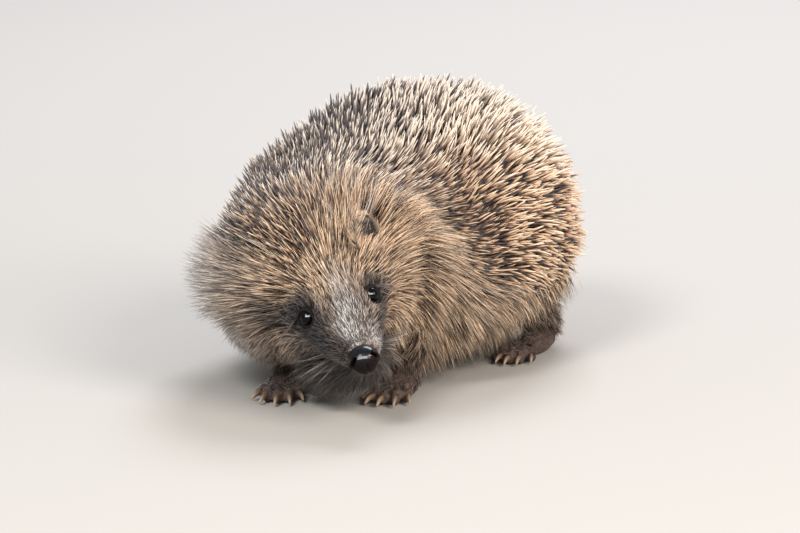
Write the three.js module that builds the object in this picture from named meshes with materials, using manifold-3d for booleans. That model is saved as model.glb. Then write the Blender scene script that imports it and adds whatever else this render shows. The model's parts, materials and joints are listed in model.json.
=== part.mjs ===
// A young European hedgehog, life size, walking slowly with its head low and turned to its left.
// Millimetres, +Z up. The trunk lies along Y and faces -Y, so the animal's left is +X.
// The origin is on the floor, under the middle of the whole model's box.
import * as THREE from "three";
import { LoftGeometry } from "three/addons/geometries/LoftGeometry.js";
import { mergeVertices } from "three/addons/utils/BufferGeometryUtils.js";
import Module from "manifold-3d";

const wasm = await Module();
wasm.setup();

// ---------------------------------------------------------------- driving dimensions

const GAP = 0.3; // between two nodes that touch

// The trunk's rings from the rump forward:
// [x, y, turn to the left, half width, top, widest level, underside], at the skin.
const TORSO = [
  [0, 75.5, 0, 5, 49, 45, 41],
  [0, 73, 0, 17, 58, 44, 30],
  [0, 66, 0, 30, 70, 43, 22],
  [0, 53, 0, 40, 81.5, 42, 17],
  [0, 36, 0, 47, 88.5, 42, 14],
  [0, 16, 0, 49, 90, 42, 13],
  [0, -4, 4, 49, 85.5, 41, 12.5],
  [1.5, -24, 11, 46.5, 79, 40, 12],
  [6, -43, 21, 42, 73, 39, 11],
];

// The head's rings in its own frame, whose origin is midway between the eyes:
// [distance forward, half width, top, underside], at the skin.
const HEAD = [
  [-34, 32, 24, -34],
  [-24, 26, 19, -30],
  [-14, 20.5, 13.8, -25.5],
  [-5, 16.3, 9.3, -20.5],
  [4, 13, 4.2, -16.5],
  [12, 10.2, -0.6, -15.4],
  [18, 8.2, -3, -14.6],
  [22.5, 6.4, -4.2, -13.9],
];
const EYES_MIDDLE = new THREE.Vector3(34.8, -88.5, 40.6);
const HEAD_TURN = 47.5; // to the animal's left
const HEAD_NOD = 12.2; // nose down
const HEAD_TILT = 18; // left eye up

const RINGS_AROUND = 28;
const RINGS_PER_ROW = 2;

// The body's lengths: [name, the row where it ends].
const LENGTHS = [
  ["rump", 3.5],
  ["torso", 7.4],
  ["neck", 9.4],
  ["head", 16],
];

// What the head carries, in the head's frame: [forward, to the left, up].
const EYE_RADIUS = 3.1;
const EYE = [-0.9, 11.8, -0.4];
const GAZE = [0.5, 0.84, 0.2];
const EYE_SOCKET = 3.6; // radius of the coarse ball that clears the eye by the gap
const LID_THICKNESS = 0.9;
const EYE_OPENING = [2.9, 2.5]; // half width and half height at the eyeball's surface

const EAR_ROOT = [-14.5, 16.4, 2.5];
// The left ear stands up. The right one is laid back into the bristles.
const EAR_AXIS = { left: [-0.3, 0.34, 0.89], right: [-0.6, 0.3, 0.74] };
const EAR_FACING = { left: [0.8, 0.6, 0], right: [0.55, 0.6, 0.5] };
const EAR_THICKNESS = 0.9;
// [height along the ear, half width, depth of the cup]
const EAR = [
  [0, 4.2, 3.2],
  [5, 5.8, 4.4],
  [10, 7, 4.8],
  [14.5, 6.2, 4],
  [17.6, 4, 2.8],
  [18.8, 2.2, 2],
];

// [distance forward, half width, top, underside]
const NOSE = [
  [22.8, 5.1, -4.7, -13.5],
  [25, 5.6, -4.2, -14.1],
  [28, 5.6, -4.4, -14.3],
  [30.3, 4.7, -5.5, -13.6],
  [31.4, 2.8, -7.3, -12],
];
const JAW = [
  [-7, 10.5, -15, -26.5],
  [-1, 9.2, -14, -24.6],
  [5, 7.4, -13, -22],
  [11, 5.5, -12, -19.6],
  [15, 4, -11.5, -18],
  [17.6, 2.2, -12, -16.6],
];
const NOSTRIL_WIDTH = 1.5;

// Each limb: joints from inside the trunk to the ankle, then the foot's middle and heading.
const LIMBS = {
  fore_leg_left: { joints: [[27, -34, 34], [33, -40, 22], [34, -43, 12]], sole: [35, -49], heading: 10 },
  fore_leg_right: { joints: [[-14, -40, 34], [-14, -52, 22], [-5, -63, 12]], sole: [-2, -69], heading: 24 },
  hind_leg_left: { joints: [[30, 42, 36], [36, 38, 20], [38, 47, 10]], sole: [39, 38], heading: 8 },
  hind_leg_right: { joints: [[-30, 46, 36], [-36, 44, 20], [-37, 56, 10]], sole: [-38, 47], heading: -6 },
};
const LIMB_RADII = { fore: [11, 8.5, 5.2], hind: [14, 11, 6] };
// [half length of the sole, half width, half height]
const FOOT = { fore: [8, 6.6, 4.6], hind: [14, 6.4, 4.6] };
const SOLE_CUT = 0.9; // how much of the foot's round is cut flat
const TOE_RADIUS = 2.2;
const TOE_ARCH = 3.4; // the height of a toe's knuckles
// From the outermost toe inwards: [length past the sole's middle, spread in degrees]
const TOES = {
  fore: [[12, 34], [15.5, 16], [16.5, 0], [15.5, -15], [11, -34]],
  hind: [[18, 20], [22.5, 9], [24, 0], [22.5, -9], [17, -20]],
};
const CLAW = { fore: [5.4, 1.05], hind: [4.8, 0.95] }; // length past the toe, radius at the root
const CLAW_SEAT = 1.5; // how deep a claw is set in its toe
const CLAW_TIP = 0.3; // radius
const CLAW_DEPTH = 1.25; // how much deeper a claw is than it is wide

// The coat stands in for itself: each spine and each lock of long fur has its true place, size and
// lie, but there are fewer of them.
const CORE_SHARE = 0.42; // how much of the way to the tips the body under them reaches
const FLOOR_CLEARANCE = 0.8;
const SPINE_STATIONS = [0.35, 11.4]; // the rows between which they grow
const SPINE_FRINGE = 3; // how many degrees past their edge the last ones stand
const SPINE_SPACING = 9.5;
const SPINE_RADIUS = 0.85; // at the root
const SPINE_TIP = 0.2; // as a share of the root
const SPINE_LEAN = [40, 54]; // degrees from upright, towards the tail
const SPINE_SWAY = 9; // degrees to either side
const SHORTEST_SPINE = 0.86; // as a share of the reach
const SPINE_DROOP = 0.25; // how much they sag down the flanks
const ROOT_DEPTH = 2.8; // how deep a spine or lock is sunk in the body under it

const LOCK_STATIONS = [0.4, 12.4];
const LOCK_SPACING = 9.6;
const LOCK_THICKNESS = 1.8;
const LOCK_TAPER = [1, 0.8, 0.1];
const LOCK_VARIETY = [0.85, 1.1]; // the smallest and the largest, as shares of the sizes below
const LOCK_BOW = 0.72; // how high a lock's middle is, as a share of its tip's height
const LOCK_SWAY = 14; // degrees to either side
const HEAD_LOCKS = 10.4; // forward of this row they are the head's
// On the head, on the neck and further back.
const LOCK_WIDTH = [4, 5.6, 6.4];
const LOCK_LENGTH = [13, 20, 24];
const LOCK_SLANT = [35, 52, 42]; // degrees from the body's length, down the side
const LOCK_SPREAD = 0.55; // how much of its way a lock keeps straight on at its tip
// How far past the spines' edge the long fur grows, in degrees, at each row.
const LOCKS_REACH = [55, 50, 46, 44, 42, 42, 42, 44, 50, 70, 95, 112, 30, 0];

const TAIL = [[0, 64, 34], [0, 78, 29], [1, 87, 22], [3, 92, 16]];
const TAIL_RADII = [5, 4.2, 3, 1.2];

// ---------------------------------------------------------------- solids

/** The manifold-3d solid of a closed three.js geometry. */
function solid(geometry) {
  const bare = new THREE.BufferGeometry().setAttribute("position", geometry.getAttribute("position"));
  if (geometry.index) bare.setIndex(geometry.index);
  const merged = mergeVertices(bare);
  const made = new wasm.Manifold(
    new wasm.Mesh({
      numProp: 3,
      vertProperties: new Float32Array(merged.attributes.position.array),
      triVerts: new Uint32Array(merged.index.array),
    }),
  );
  if (made.volume() <= 0) throw new Error("a solid is inside out");
  return made;
}

/** The largest closed surface of a solid, as a three.js geometry. */
function geometryOf(made) {
  const [largest] = made.decompose().sort((a, b) => b.volume() - a.volume());
  const mesh = largest.getMesh();
  return new THREE.BufferGeometry()
    .setAttribute("position", new THREE.BufferAttribute(mesh.vertProperties, 3))
    .setIndex(new THREE.BufferAttribute(mesh.triVerts, 1));
}

/** A closed loft through rings of points. */
function loft(rings) {
  return solid(new LoftGeometry(rings, { capStart: true, capEnd: true }));
}

/** Places an outline of [u, v] points, counterclockwise, for a loft that travels along u x v. */
function section(centre, u, v, outline) {
  return outline.map(([a, b]) => centre.clone().addScaledVector(u, a).addScaledVector(v, b));
}

/** An ellipse of [u, v] points, counterclockwise. */
function ellipse(halfU, halfV, sides) {
  return Array.from({ length: sides }, (_, k) => {
    const angle = (2 * Math.PI * k) / sides;
    return [halfU * Math.cos(angle), halfV * Math.sin(angle)];
  });
}

/** Two axes across a direction of travel, the first as near to a hint as it can be. */
function across(travel, hint) {
  const u = hint.clone().addScaledVector(travel, -travel.dot(hint)).normalize();
  return [u, travel.clone().cross(u)];
}

/** A round limb through points, whose radius runs through a list too. */
function limb(points, radii, steps, sides, flatten = 1) {
  const curve = new THREE.CatmullRomCurve3(points);
  return loft(
    Array.from({ length: steps + 1 }, (_, k) => {
      const t = k / steps;
      const at = t * (radii.length - 1);
      const i = Math.min(Math.floor(at), radii.length - 2);
      const radius = THREE.MathUtils.lerp(radii[i], radii[i + 1], at - i);
      const [u, v] = across(curve.getTangent(t), new THREE.Vector3(0, 0.1, 1));
      return section(curve.getPoint(t), u, v, ellipse(radius * flatten, radius, sides));
    }),
  );
}

// ---------------------------------------------------------------- the body's surface

/** The right-handed frame of a ring that faces -Y before it is turned left, nodded down and tilted. */
function facing(turn, nod, tilt) {
  const [a, b, c] = [turn, nod, tilt].map(THREE.MathUtils.degToRad);
  const level = new THREE.Vector3(Math.sin(a), -Math.cos(a), 0);
  const left = new THREE.Vector3(Math.cos(a), Math.sin(a), 0);
  const up = new THREE.Vector3(0, 0, Math.cos(b)).addScaledVector(level, Math.sin(b));
  const forward = level.clone().multiplyScalar(Math.cos(b)).setZ(-Math.sin(b));
  return {
    forward,
    side: left.clone().multiplyScalar(Math.cos(c)).addScaledVector(up, Math.sin(c)),
    up: up.clone().multiplyScalar(Math.cos(c)).addScaledVector(left, -Math.sin(c)),
  };
}
const HEAD_FRAME = facing(HEAD_TURN, HEAD_NOD, HEAD_TILT);

/** A direction given in the head's own frame. */
function headward(forward, side, up) {
  return new THREE.Vector3()
    .addScaledVector(HEAD_FRAME.forward, forward)
    .addScaledVector(HEAD_FRAME.side, side)
    .addScaledVector(HEAD_FRAME.up, up);
}

/** A point given in the head's own frame. */
function inHead(forward, side, up) {
  return headward(forward, side, up).add(EYES_MIDDLE);
}

// One row for each ring: centre, the three angles of its facing, half width, rise and drop.
const ROWS = [
  ...TORSO.map(([x, y, turn, width, top, level, under]) => [
    x, y, level, turn, 0, 0, width, top - level, level - under,
  ]),
  ...HEAD.map(([forward, width, top, under], k) => {
    const middle = (top + under) / 2;
    const centre = inHead(forward, 0, middle);
    const share = k === 0 ? 0.8 : 1; // the nape is still turning
    const angles = [HEAD_TURN, HEAD_NOD, HEAD_TILT].map((angle) => angle * share);
    return [...centre, ...angles, width, top - middle, middle - under];
  }),
];
const LAST = ROWS.length - 1;

/** A row between the rows, by a Catmull-Rom spline over their index. */
function rowAt(station) {
  const i = Math.min(Math.floor(station), LAST - 1);
  const t = station - i;
  const row = (k) => ROWS[THREE.MathUtils.clamp(k, 0, LAST)];
  return ROWS[0].map((_, n) => {
    const [a, b, c, d] = [-1, 0, 1, 2].map((k) => row(i + k)[n]);
    return b + (t * (c - a + t * (2 * a - 5 * b + 4 * c - d + t * (3 * (b - c) + d - a)))) / 2;
  });
}

/** The skin's point at a station and an angle from the top, which grows towards the animal's left. */
function skinPoint(station, angle) {
  const [x, y, z, turn, nod, tilt, width, rise, drop] = rowAt(station);
  const { side, up } = facing(turn, nod, tilt);
  const height = Math.cos(angle);
  return new THREE.Vector3(x, y, z)
    .addScaledVector(side, width * Math.sin(angle))
    .addScaledVector(up, (height > 0 ? rise : drop) * height);
}

const STEP = 0.02;
/** The skin's outward normal and the direction along it towards the tail. */
function skinAxes(station, angle) {
  const back = skinPoint(Math.max(station - STEP, 0), angle)
    .sub(skinPoint(Math.min(station + STEP, LAST), angle))
    .normalize();
  const around = skinPoint(station, angle + STEP).sub(skinPoint(station, angle - STEP));
  const normal = new THREE.Vector3().crossVectors(around, back).normalize();
  // the rearmost ring is so small that its normals are taken straight back
  if (station < 1) normal.lerp(new THREE.Vector3(0, 1, 0), 1 - station).normalize();
  return { back, normal };
}

/** How far apart two stations one row apart are, along the skin. */
function strideAt(station, angle) {
  return skinPoint(station + STEP, angle).distanceTo(skinPoint(station, angle)) / STEP;
}

/** A value between the entries of a list. */
function between(list, at) {
  const i = THREE.MathUtils.clamp(Math.floor(at), 0, list.length - 2);
  return THREE.MathUtils.lerp(list[i], list[i + 1], THREE.MathUtils.clamp(at - i, 0, 1));
}

const SPINE_REACH = 13; // how far the spines' tips stand off the skin
// The fur's reach at each row, and under the belly.
const FUR_REACH = [8, 8, 8, 8, 8, 8, 8, 8, 8, 8, 7, 5, 3, 1.8, 1.2, 0.9, 0.6];
const BELLY_REACH = 5;
// The spines' edge at each row, in degrees from the top.
const SPINE_EDGE = [95, 100, 104, 106, 108, 108, 106, 100, 86, 58, 24, -20];

/** How many degrees of the way round the body a place is past the spines' edge. */
function pastSpines(station, angle) {
  return THREE.MathUtils.radToDeg(Math.abs(angle)) - between(SPINE_EDGE, station);
}

/** 1 where the spines grow, falling to 0 past their edge. */
function spiny(station, angle) {
  return THREE.MathUtils.smoothstep(-pastSpines(station, angle), -12, 4);
}

/** How far the coat's tips stand off the skin. */
function coatDepth(station, angle) {
  const fur = between(FUR_REACH, station);
  const under = THREE.MathUtils.smoothstep(Math.abs(angle), 1.9, 2.6);
  const soft = THREE.MathUtils.lerp(fur, Math.min(fur, BELLY_REACH), under);
  return THREE.MathUtils.lerp(soft, SPINE_REACH, spiny(station, angle));
}

/** The body under the spines and locks: part of the way to their tips, and all of it in short fur. */
function coreDepth(station, angle) {
  const reach = between(LOCKS_REACH, station);
  const past = pastSpines(station, angle);
  const long = reach > 0 ? 1 - THREE.MathUtils.smoothstep(past, reach - 12, reach + 6) : 0;
  return coatDepth(station, angle) * THREE.MathUtils.lerp(1, CORE_SHARE, long);
}

/** The closed surface of the whole body, with a margin around it if asked. */
function wholeBody(margin = 0) {
  const rings = RINGS_PER_ROW * LAST;
  return loft(
    Array.from({ length: rings + 1 }, (_, n) => {
      const station = n / RINGS_PER_ROW;
      return Array.from({ length: RINGS_AROUND }, (_, k) => {
        const angle = Math.PI - (2 * Math.PI * k) / RINGS_AROUND;
        const lift = coreDepth(station, angle) + margin;
        return skinPoint(station, angle).addScaledVector(skinAxes(station, angle).normal, lift);
      });
    }),
  );
}

/** Where the body is cut across at a row: the cut's direction and its distance along that. */
function cutAt(row) {
  const [x, y, z, turn, nod, tilt] = rowAt(row);
  const { forward } = facing(turn, nod, tilt);
  return [forward, forward.dot(new THREE.Vector3(x, y, z))];
}

/** Parts the body with flat cuts across it, into its named lengths. */
function partedBody(whole, gap) {
  let rest = whole;
  return Object.fromEntries(
    LENGTHS.map(([name, to]) => {
      if (to === LAST) return [name, rest];
      const [forward, offset] = cutAt(to);
      const length = rest.trimByPlane(forward.clone().negate().toArray(), gap / 2 - offset);
      rest = rest.trimByPlane(forward.toArray(), offset + gap / 2);
      return [name, length];
    }),
  );
}

// The whole body with the gap around it, for what grows out of it.
const CLEAR = wholeBody(GAP);

// ---------------------------------------------------------------- spines and locks

/** A repeatable stream of numbers between 0 and 1. */
function stream(seed) {
  let state = seed;
  return () => {
    state = (Math.imul(state, 1664525) + 1013904223) >>> 0;
    return state / 2 ** 32;
  };
}
const chance = stream(2024);
const within = (low, high) => low + (high - low) * chance();

const STAGGER = Math.sqrt(3) / 2; // how far apart staggered rings of seats are, in spacings
const SCATTER = 0.2; // how far a seat is moved along its ring at random, in spacings
const STATION_SCATTER = 0.06;
const SHOULDER = 0.9; // the angle at which the rings' distance is measured

/** Evenly spread seats over the body: [station, angle], in staggered rings. */
function seats(spacing, from, to) {
  const found = [];
  let odd = 0;
  for (let station = from; station < to; ) {
    const [, , , , , , width, rise, drop] = rowAt(station);
    const around = Math.PI * (width + (rise + drop) / 2);
    const count = Math.max(5, Math.round(around / spacing));
    for (let k = 0; k < count; k++) {
      const turn = (k + odd / 2 + within(-SCATTER, SCATTER)) / count;
      const angle = 2 * Math.PI * (turn - Math.floor(turn)) - Math.PI;
      found.push([station + within(-STATION_SCATTER, STATION_SCATTER), angle]);
    }
    odd = 1 - odd;
    station += (spacing * STAGGER) / strideAt(station, SHOULDER);
  }
  return found.filter(([station]) => station > 0 && station < LAST);
}

/** A point above the skin, some way from a seat: back along the body and down its side. */
function beside(station, angle, back, down, height) {
  const girth = skinPoint(station, angle + STEP).distanceTo(skinPoint(station, angle)) / STEP;
  const there = Math.max(station - back / strideAt(station, angle), LOCK_STATIONS[0]);
  const turned = angle + (Math.sign(angle) * down) / girth;
  return skinPoint(there, turned).addScaledVector(skinAxes(there, turned).normal, height);
}

/**
 * A tuft through points from its root to its tip, and the same one grown by the gap. Its sections
 * are parallel and alike, so that its sides are flat.
 */
function tuft(points, shares, wide, [halfU, halfV], sides) {
  const [u, v] = across(points.at(-1).clone().sub(points[0]).normalize(), wide);
  return [0, GAP].map((grown) =>
    loft(
      points.map((point, k) =>
        section(point, u, v, ellipse(halfU * shares[k] + grown, halfV * shares[k] + grown, sides)),
      ),
    ),
  );
}

/** One spine: three-sided and drawn out to its point. */
function spine(station, angle, share) {
  const { back, normal } = skinAxes(station, angle);
  const depth = coreDepth(station, angle) - ROOT_DEPTH;
  const root = skinPoint(station, angle).addScaledVector(normal, depth);
  const lie = back.clone().setZ(back.z - SPINE_DROOP);
  lie.addScaledVector(normal, -lie.dot(normal)).normalize();
  const aside = normal.clone().cross(lie);
  const lean = Math.tan(THREE.MathUtils.degToRad(within(...SPINE_LEAN)));
  lie.applyAxisAngle(normal, THREE.MathUtils.degToRad(within(-SPINE_SWAY, SPINE_SWAY)));
  const rise = SPINE_REACH * within(SHORTEST_SPINE, 1) * share - depth;
  const at = (along) =>
    root.clone().addScaledVector(normal, rise * along).addScaledVector(lie, rise * lean * along);
  return tuft([at(0), at(1)], [1, SPINE_TIP], aside, [SPINE_RADIUS, SPINE_RADIUS], 3);
}

/** One lock of long fur: flat, four-sided, tapered, bending over to lie along the coat. */
function lock(station, angle, share) {
  const region = THREE.MathUtils.clamp(HEAD_LOCKS - station, 0, 2);
  const length = between(LOCK_LENGTH, region) * within(...LOCK_VARIETY) * share;
  const slant = THREE.MathUtils.degToRad(between(LOCK_SLANT, region) + within(-LOCK_SWAY, LOCK_SWAY));
  const tips = coatDepth(station, angle) * within(LOCK_VARIETY[0], 1);
  const at = (along, height) =>
    beside(station, angle, length * along * Math.cos(slant), length * along * Math.sin(slant), height);
  const root = at(0, coreDepth(station, angle) - ROOT_DEPTH);
  const middle = at(0.5, tips * LOCK_BOW);
  const straight = middle.clone().addScaledVector(middle.clone().sub(root).normalize(), length * 0.5);
  const tip = at(1, tips).lerp(straight, LOCK_SPREAD);
  const half = (between(LOCK_WIDTH, region) * within(...LOCK_VARIETY)) / 2;
  const aside = skinAxes(station, angle).normal.cross(tip.clone().sub(root));
  return tuft([root, middle, tip], LOCK_TAPER, aside, [half, LOCK_THICKNESS / 2], 4);
}

const SHORTENED = [1, 0.86, 0.72]; // the lengths at which a tuft is tried

/** Whether two solids' boxes come within reach of each other. */
function near(a, b) {
  return [0, 1, 2].every((n) => a.min[n] <= b.max[n] && b.min[n] <= a.max[n]);
}

/**
 * Grows spines and locks on the body's lengths. One that would touch another node, or reach the
 * floor, is tried shorter, and then left out.
 */
function growCoat(lengths, others) {
  const grownOn = Object.fromEntries(LENGTHS.map(([name]) => [name, []]));
  const fixed = [...Object.entries(lengths), ...Object.entries(others)].map(([node, made]) => ({
    node, made, box: made.boundingBox(),
  }));
  const placed = [];
  function grow(make, station, angle) {
    const point = skinPoint(station, angle);
    const [node] = LENGTHS.find(([, to]) => {
      if (to === LAST) return true;
      const [forward, offset] = cutAt(to);
      return forward.dot(point) < offset;
    });
    for (const share of SHORTENED) {
      const [made, grown] = make(station, angle, share);
      const box = grown.boundingBox();
      const clash = (other) =>
        other.node !== node && near(box, other.box) && !grown.intersect(other.made).isEmpty();
      if (box.min[2] > FLOOR_CLEARANCE && !fixed.some(clash) && !placed.some(clash)) {
        placed.push({ node, made, box });
        grownOn[node].push(made);
        return;
      }
    }
  }
  for (const [station, angle] of seats(SPINE_SPACING, ...SPINE_STATIONS)) {
    if (pastSpines(station, angle) < SPINE_FRINGE) grow(spine, station, angle);
  }
  for (const [station, angle] of seats(LOCK_SPACING, ...LOCK_STATIONS)) {
    const past = pastSpines(station, angle);
    if (past > SPINE_FRINGE && past < between(LOCKS_REACH, station)) grow(lock, station, angle);
  }
  for (const [node, tufts] of Object.entries(grownOn)) {
    lengths[node] = wasm.Manifold.union([lengths[node], ...tufts]);
  }
}

// ---------------------------------------------------------------- the head's pieces

/** 1 for the left side and -1 for the right. */
const SIDES = { left: 1, right: -1 };
const mirrored = ([forward, side, up], sign) => [forward, side * sign, up];

function ball(radius, centre, detail) {
  return solid(new THREE.IcosahedronGeometry(radius, detail).translate(...centre));
}

/** The cone through which the eye looks out between its lids. */
function eyeOpening(centre, sign) {
  const gaze = headward(...mirrored(GAZE, sign)).normalize();
  const [u, v] = across(gaze, headward(0.7, 0, 0.3 * sign));
  const distances = [0.25, 1, 2.2]; // from the eye's centre, in radii
  return loft(
    distances.map((distance) => {
      const [halfU, halfV] = EYE_OPENING.map((half) => half * distance);
      const middle = centre.clone().addScaledVector(gaze, EYE_RADIUS * distance);
      return section(middle, u, v, ellipse(halfU, halfV, 14));
    }),
  );
}

/** The ear's section at each height: its cup as a crescent, or the whole of it, grown. */
function earSections(side, whole) {
  const sign = SIDES[side];
  const axis = headward(...mirrored(EAR_AXIS[side], sign)).normalize();
  const [u, v] = across(axis, headward(...mirrored(EAR_FACING[side], sign)));
  const arc = (halfWidth, depth) =>
    Array.from({ length: 8 }, (_, k) => {
      const angle = THREE.MathUtils.degToRad(82 + 28 * k);
      return [depth * Math.cos(angle), halfWidth * Math.sin(angle)];
    });
  const rows = whole ? [...EAR, [40, EAR.at(-1)[1], EAR.at(-1)[2]]] : EAR;
  return rows.map(([height, halfWidth, depth], k) => {
    const bend = 0.012 * height * height; // the ear leans back towards its tip
    const centre = inHead(...mirrored(EAR_ROOT, sign))
      .addScaledVector(axis, whole && k === 0 ? -GAP : height)
      .addScaledVector(u, -Math.min(bend, 4));
    const outer = whole ? arc(halfWidth + GAP, depth + GAP) : arc(halfWidth, depth);
    if (whole) return section(centre, u, v, outer);
    const inner = arc(halfWidth - EAR_THICKNESS, depth - EAR_THICKNESS).reverse();
    return section(centre, u, v, [...outer, ...inner]);
  });
}

function headRows(rows, sides) {
  return loft(
    rows.map(([forward, halfWidth, top, under]) =>
      section(
        inHead(forward, 0, (top + under) / 2),
        HEAD_FRAME.side,
        HEAD_FRAME.up,
        ellipse(halfWidth, (top - under) / 2, sides),
      ),
    ),
  );
}

/** A comma-shaped nostril: a short bent tunnel that opens forwards and curls out to the side. */
function nostril(sign) {
  const path = [[27.4, 1.6, -9.4], [30, 2.5, -9.7], [31, 3.8, -8.6], [29.8, 5.8, -8.1], [28, 7.2, -9.4]];
  const points = path.map(([forward, side, up]) => inHead(forward, side * sign, up));
  return limb(points, [NOSTRIL_WIDTH / 2, NOSTRIL_WIDTH / 2, 0.45, 0.45], 8, 6);
}

// ---------------------------------------------------------------- limbs

const FLOOR = solid(new THREE.BoxGeometry(300, 300, 40).translate(0, 0, -20));

/** A direction along the floor, in degrees from -Y towards the animal's left. */
function along(degrees) {
  const angle = THREE.MathUtils.degToRad(degrees);
  return new THREE.Vector3(Math.sin(angle), -Math.cos(angle), 0);
}

/** One leg with its flat-soled foot and five toes, and its claws, each set in a toe. */
function limbAndClaws(name, { joints, sole, heading }) {
  const kind = name.slice(0, 4);
  const outward = name.endsWith("left") ? 1 : -1;
  const [halfLength, halfWidth, halfHeight] = FOOT[kind];
  const ahead = along(heading);
  const middle = new THREE.Vector3(...sole, halfHeight - SOLE_CUT);
  const ankle = middle.clone().addScaledVector(ahead, -0.5 * halfLength);
  const leg = limb(
    [...joints.map((joint) => new THREE.Vector3(...joint)), ankle],
    [...LIMB_RADII[kind], halfHeight],
    6,
    9,
  );
  const foot = solid(
    new THREE.SphereGeometry(1, 10, 6)
      .scale(halfWidth, halfLength, halfHeight)
      .rotateZ(Math.atan2(ahead.x, -ahead.y))
      .translate(...middle),
  );
  const pieces = [leg, foot];
  const clawRooms = [];
  const claws = {};
  const [reach, clawRadius] = CLAW[kind];
  TOES[kind].forEach(([length, spread], k) => {
    const way = along(heading + spread * outward);
    const at = (distance, height) =>
      middle.clone().setZ(0).addScaledVector(way, distance).setZ(height);
    pieces.push(
      limb(
        [
          at(halfLength * 0.3, TOE_ARCH),
          at((length + halfLength) * 0.55, TOE_ARCH),
          at(length, TOE_RADIUS - 0.1),
        ],
        [TOE_RADIUS + 0.3, TOE_RADIUS, TOE_RADIUS - 0.5],
        2,
        6,
      ),
    );
    const root = at(length - CLAW_SEAT, 2.6);
    const knuckle = at(length + reach * 0.5, 2.6);
    clawRooms.push(
      limb(
        [root.clone().addScaledVector(way, -GAP), knuckle],
        [clawRadius + GAP, clawRadius * 0.75 + GAP],
        1,
        5,
        CLAW_DEPTH,
      ),
    );
    claws[`claw_${name.replace("_leg", "")}_${k + 1}`] = limb(
      [root, knuckle, at(length + reach, 1)],
      [clawRadius, clawRadius * 0.75, CLAW_TIP],
      3,
      5,
      CLAW_DEPTH,
    );
  });
  const whole = wasm.Manifold.union(pieces).subtract(wasm.Manifold.union(clawRooms));
  return [whole.subtract(CLEAR).subtract(FLOOR), claws];
}

// ---------------------------------------------------------------- the model

const body = partedBody(wholeBody(), GAP);
const eyes = {};
const ears = {};
const limbs = {};
const claws = {};
const rooms = {}; // what no spine or lock may cover

for (const [side, sign] of Object.entries(SIDES)) {
  const eye = inHead(...mirrored(EYE, sign));
  const lids = ball(EYE_RADIUS + GAP + LID_THICKNESS, eye, 2);
  const opening = eyeOpening(eye, sign);
  body.head = body.head.add(lids).subtract(opening).subtract(ball(EYE_SOCKET, eye, 1));
  eyes[`eye_${side}`] = ball(EYE_RADIUS, eye, 2);
  rooms[`eye_room_${side}`] = opening;

  const earRoom = loft(earSections(side, true));
  for (const name of ["head", "neck"]) body[name] = body[name].subtract(earRoom);
  ears[`ear_${side}`] = loft(earSections(side, false));
  rooms[`ear_room_${side}`] = earRoom;
}
const nose = headRows(NOSE, 16).subtract(nostril(1)).subtract(nostril(-1));
const jaw = headRows(JAW, 14).subtract(CLEAR);
const tail = limb(TAIL.map((point) => new THREE.Vector3(...point)), TAIL_RADII, 6, 9).subtract(CLEAR);
for (const [name, measures] of Object.entries(LIMBS)) {
  const [leg, itsClaws] = limbAndClaws(name, measures);
  limbs[name] = leg;
  Object.assign(claws, itsClaws);
}
growCoat(body, { ...rooms, ...limbs, nose, jaw, tail });

const group = new THREE.Group();
function addNodes(nodes, colour, roughness) {
  for (const [name, made] of Object.entries(nodes)) {
    const material = new THREE.MeshStandardMaterial({ color: colour, roughness });
    const mesh = new THREE.Mesh(geometryOf(made), material);
    mesh.name = name;
    group.add(mesh);
  }
}
addNodes({ rump: body.rump, torso: body.torso, neck: body.neck }, 0x8a7560, 0.8);
addNodes({ head: body.head, jaw }, 0x8f775f, 0.85);
addNodes({ ...limbs, tail }, 0x5b4c42, 0.85);
addNodes(ears, 0x4a4448, 0.6);
addNodes(eyes, 0x0b0908, 0.1);
addNodes(claws, 0xb9a48c, 0.45);
addNodes({ nose }, 0x17120f, 0.3);

const box = new THREE.Box3().setFromObject(group);
const middle = box.getCenter(new THREE.Vector3());
group.position.set(-middle.x, -middle.y, 0);

export default group;
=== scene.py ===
# %% [markdown]
# # A young hedgehog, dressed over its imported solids
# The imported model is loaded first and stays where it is. Everything below is made around it in the
# same frame, in metres, with the floor at z = 0. Measures are written in millimetres, as a maker of
# museum models would take them, and turned to metres only when a mesh is made.

import json
import math

import bmesh
import bpy
import numpy as np
from mathutils import Matrix, Vector

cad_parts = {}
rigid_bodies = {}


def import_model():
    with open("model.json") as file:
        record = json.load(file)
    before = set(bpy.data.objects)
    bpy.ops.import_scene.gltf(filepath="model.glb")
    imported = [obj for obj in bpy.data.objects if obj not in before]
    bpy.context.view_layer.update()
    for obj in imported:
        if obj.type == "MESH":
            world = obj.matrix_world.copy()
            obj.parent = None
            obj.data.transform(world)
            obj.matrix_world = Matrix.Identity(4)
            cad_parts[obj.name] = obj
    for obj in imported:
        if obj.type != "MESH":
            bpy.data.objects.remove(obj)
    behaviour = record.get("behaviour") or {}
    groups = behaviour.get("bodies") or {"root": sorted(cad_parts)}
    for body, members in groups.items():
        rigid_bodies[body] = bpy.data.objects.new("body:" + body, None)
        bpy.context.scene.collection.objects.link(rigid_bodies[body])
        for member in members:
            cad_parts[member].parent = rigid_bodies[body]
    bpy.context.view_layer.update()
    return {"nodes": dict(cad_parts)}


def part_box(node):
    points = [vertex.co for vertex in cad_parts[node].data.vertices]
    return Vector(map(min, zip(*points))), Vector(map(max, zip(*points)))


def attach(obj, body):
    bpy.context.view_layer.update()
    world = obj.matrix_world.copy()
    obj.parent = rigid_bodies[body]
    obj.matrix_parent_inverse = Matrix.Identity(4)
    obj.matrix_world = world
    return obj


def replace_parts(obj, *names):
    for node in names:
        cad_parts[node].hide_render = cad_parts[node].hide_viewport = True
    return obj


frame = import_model()
print("solids loaded:", len(frame["nodes"]))

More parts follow.
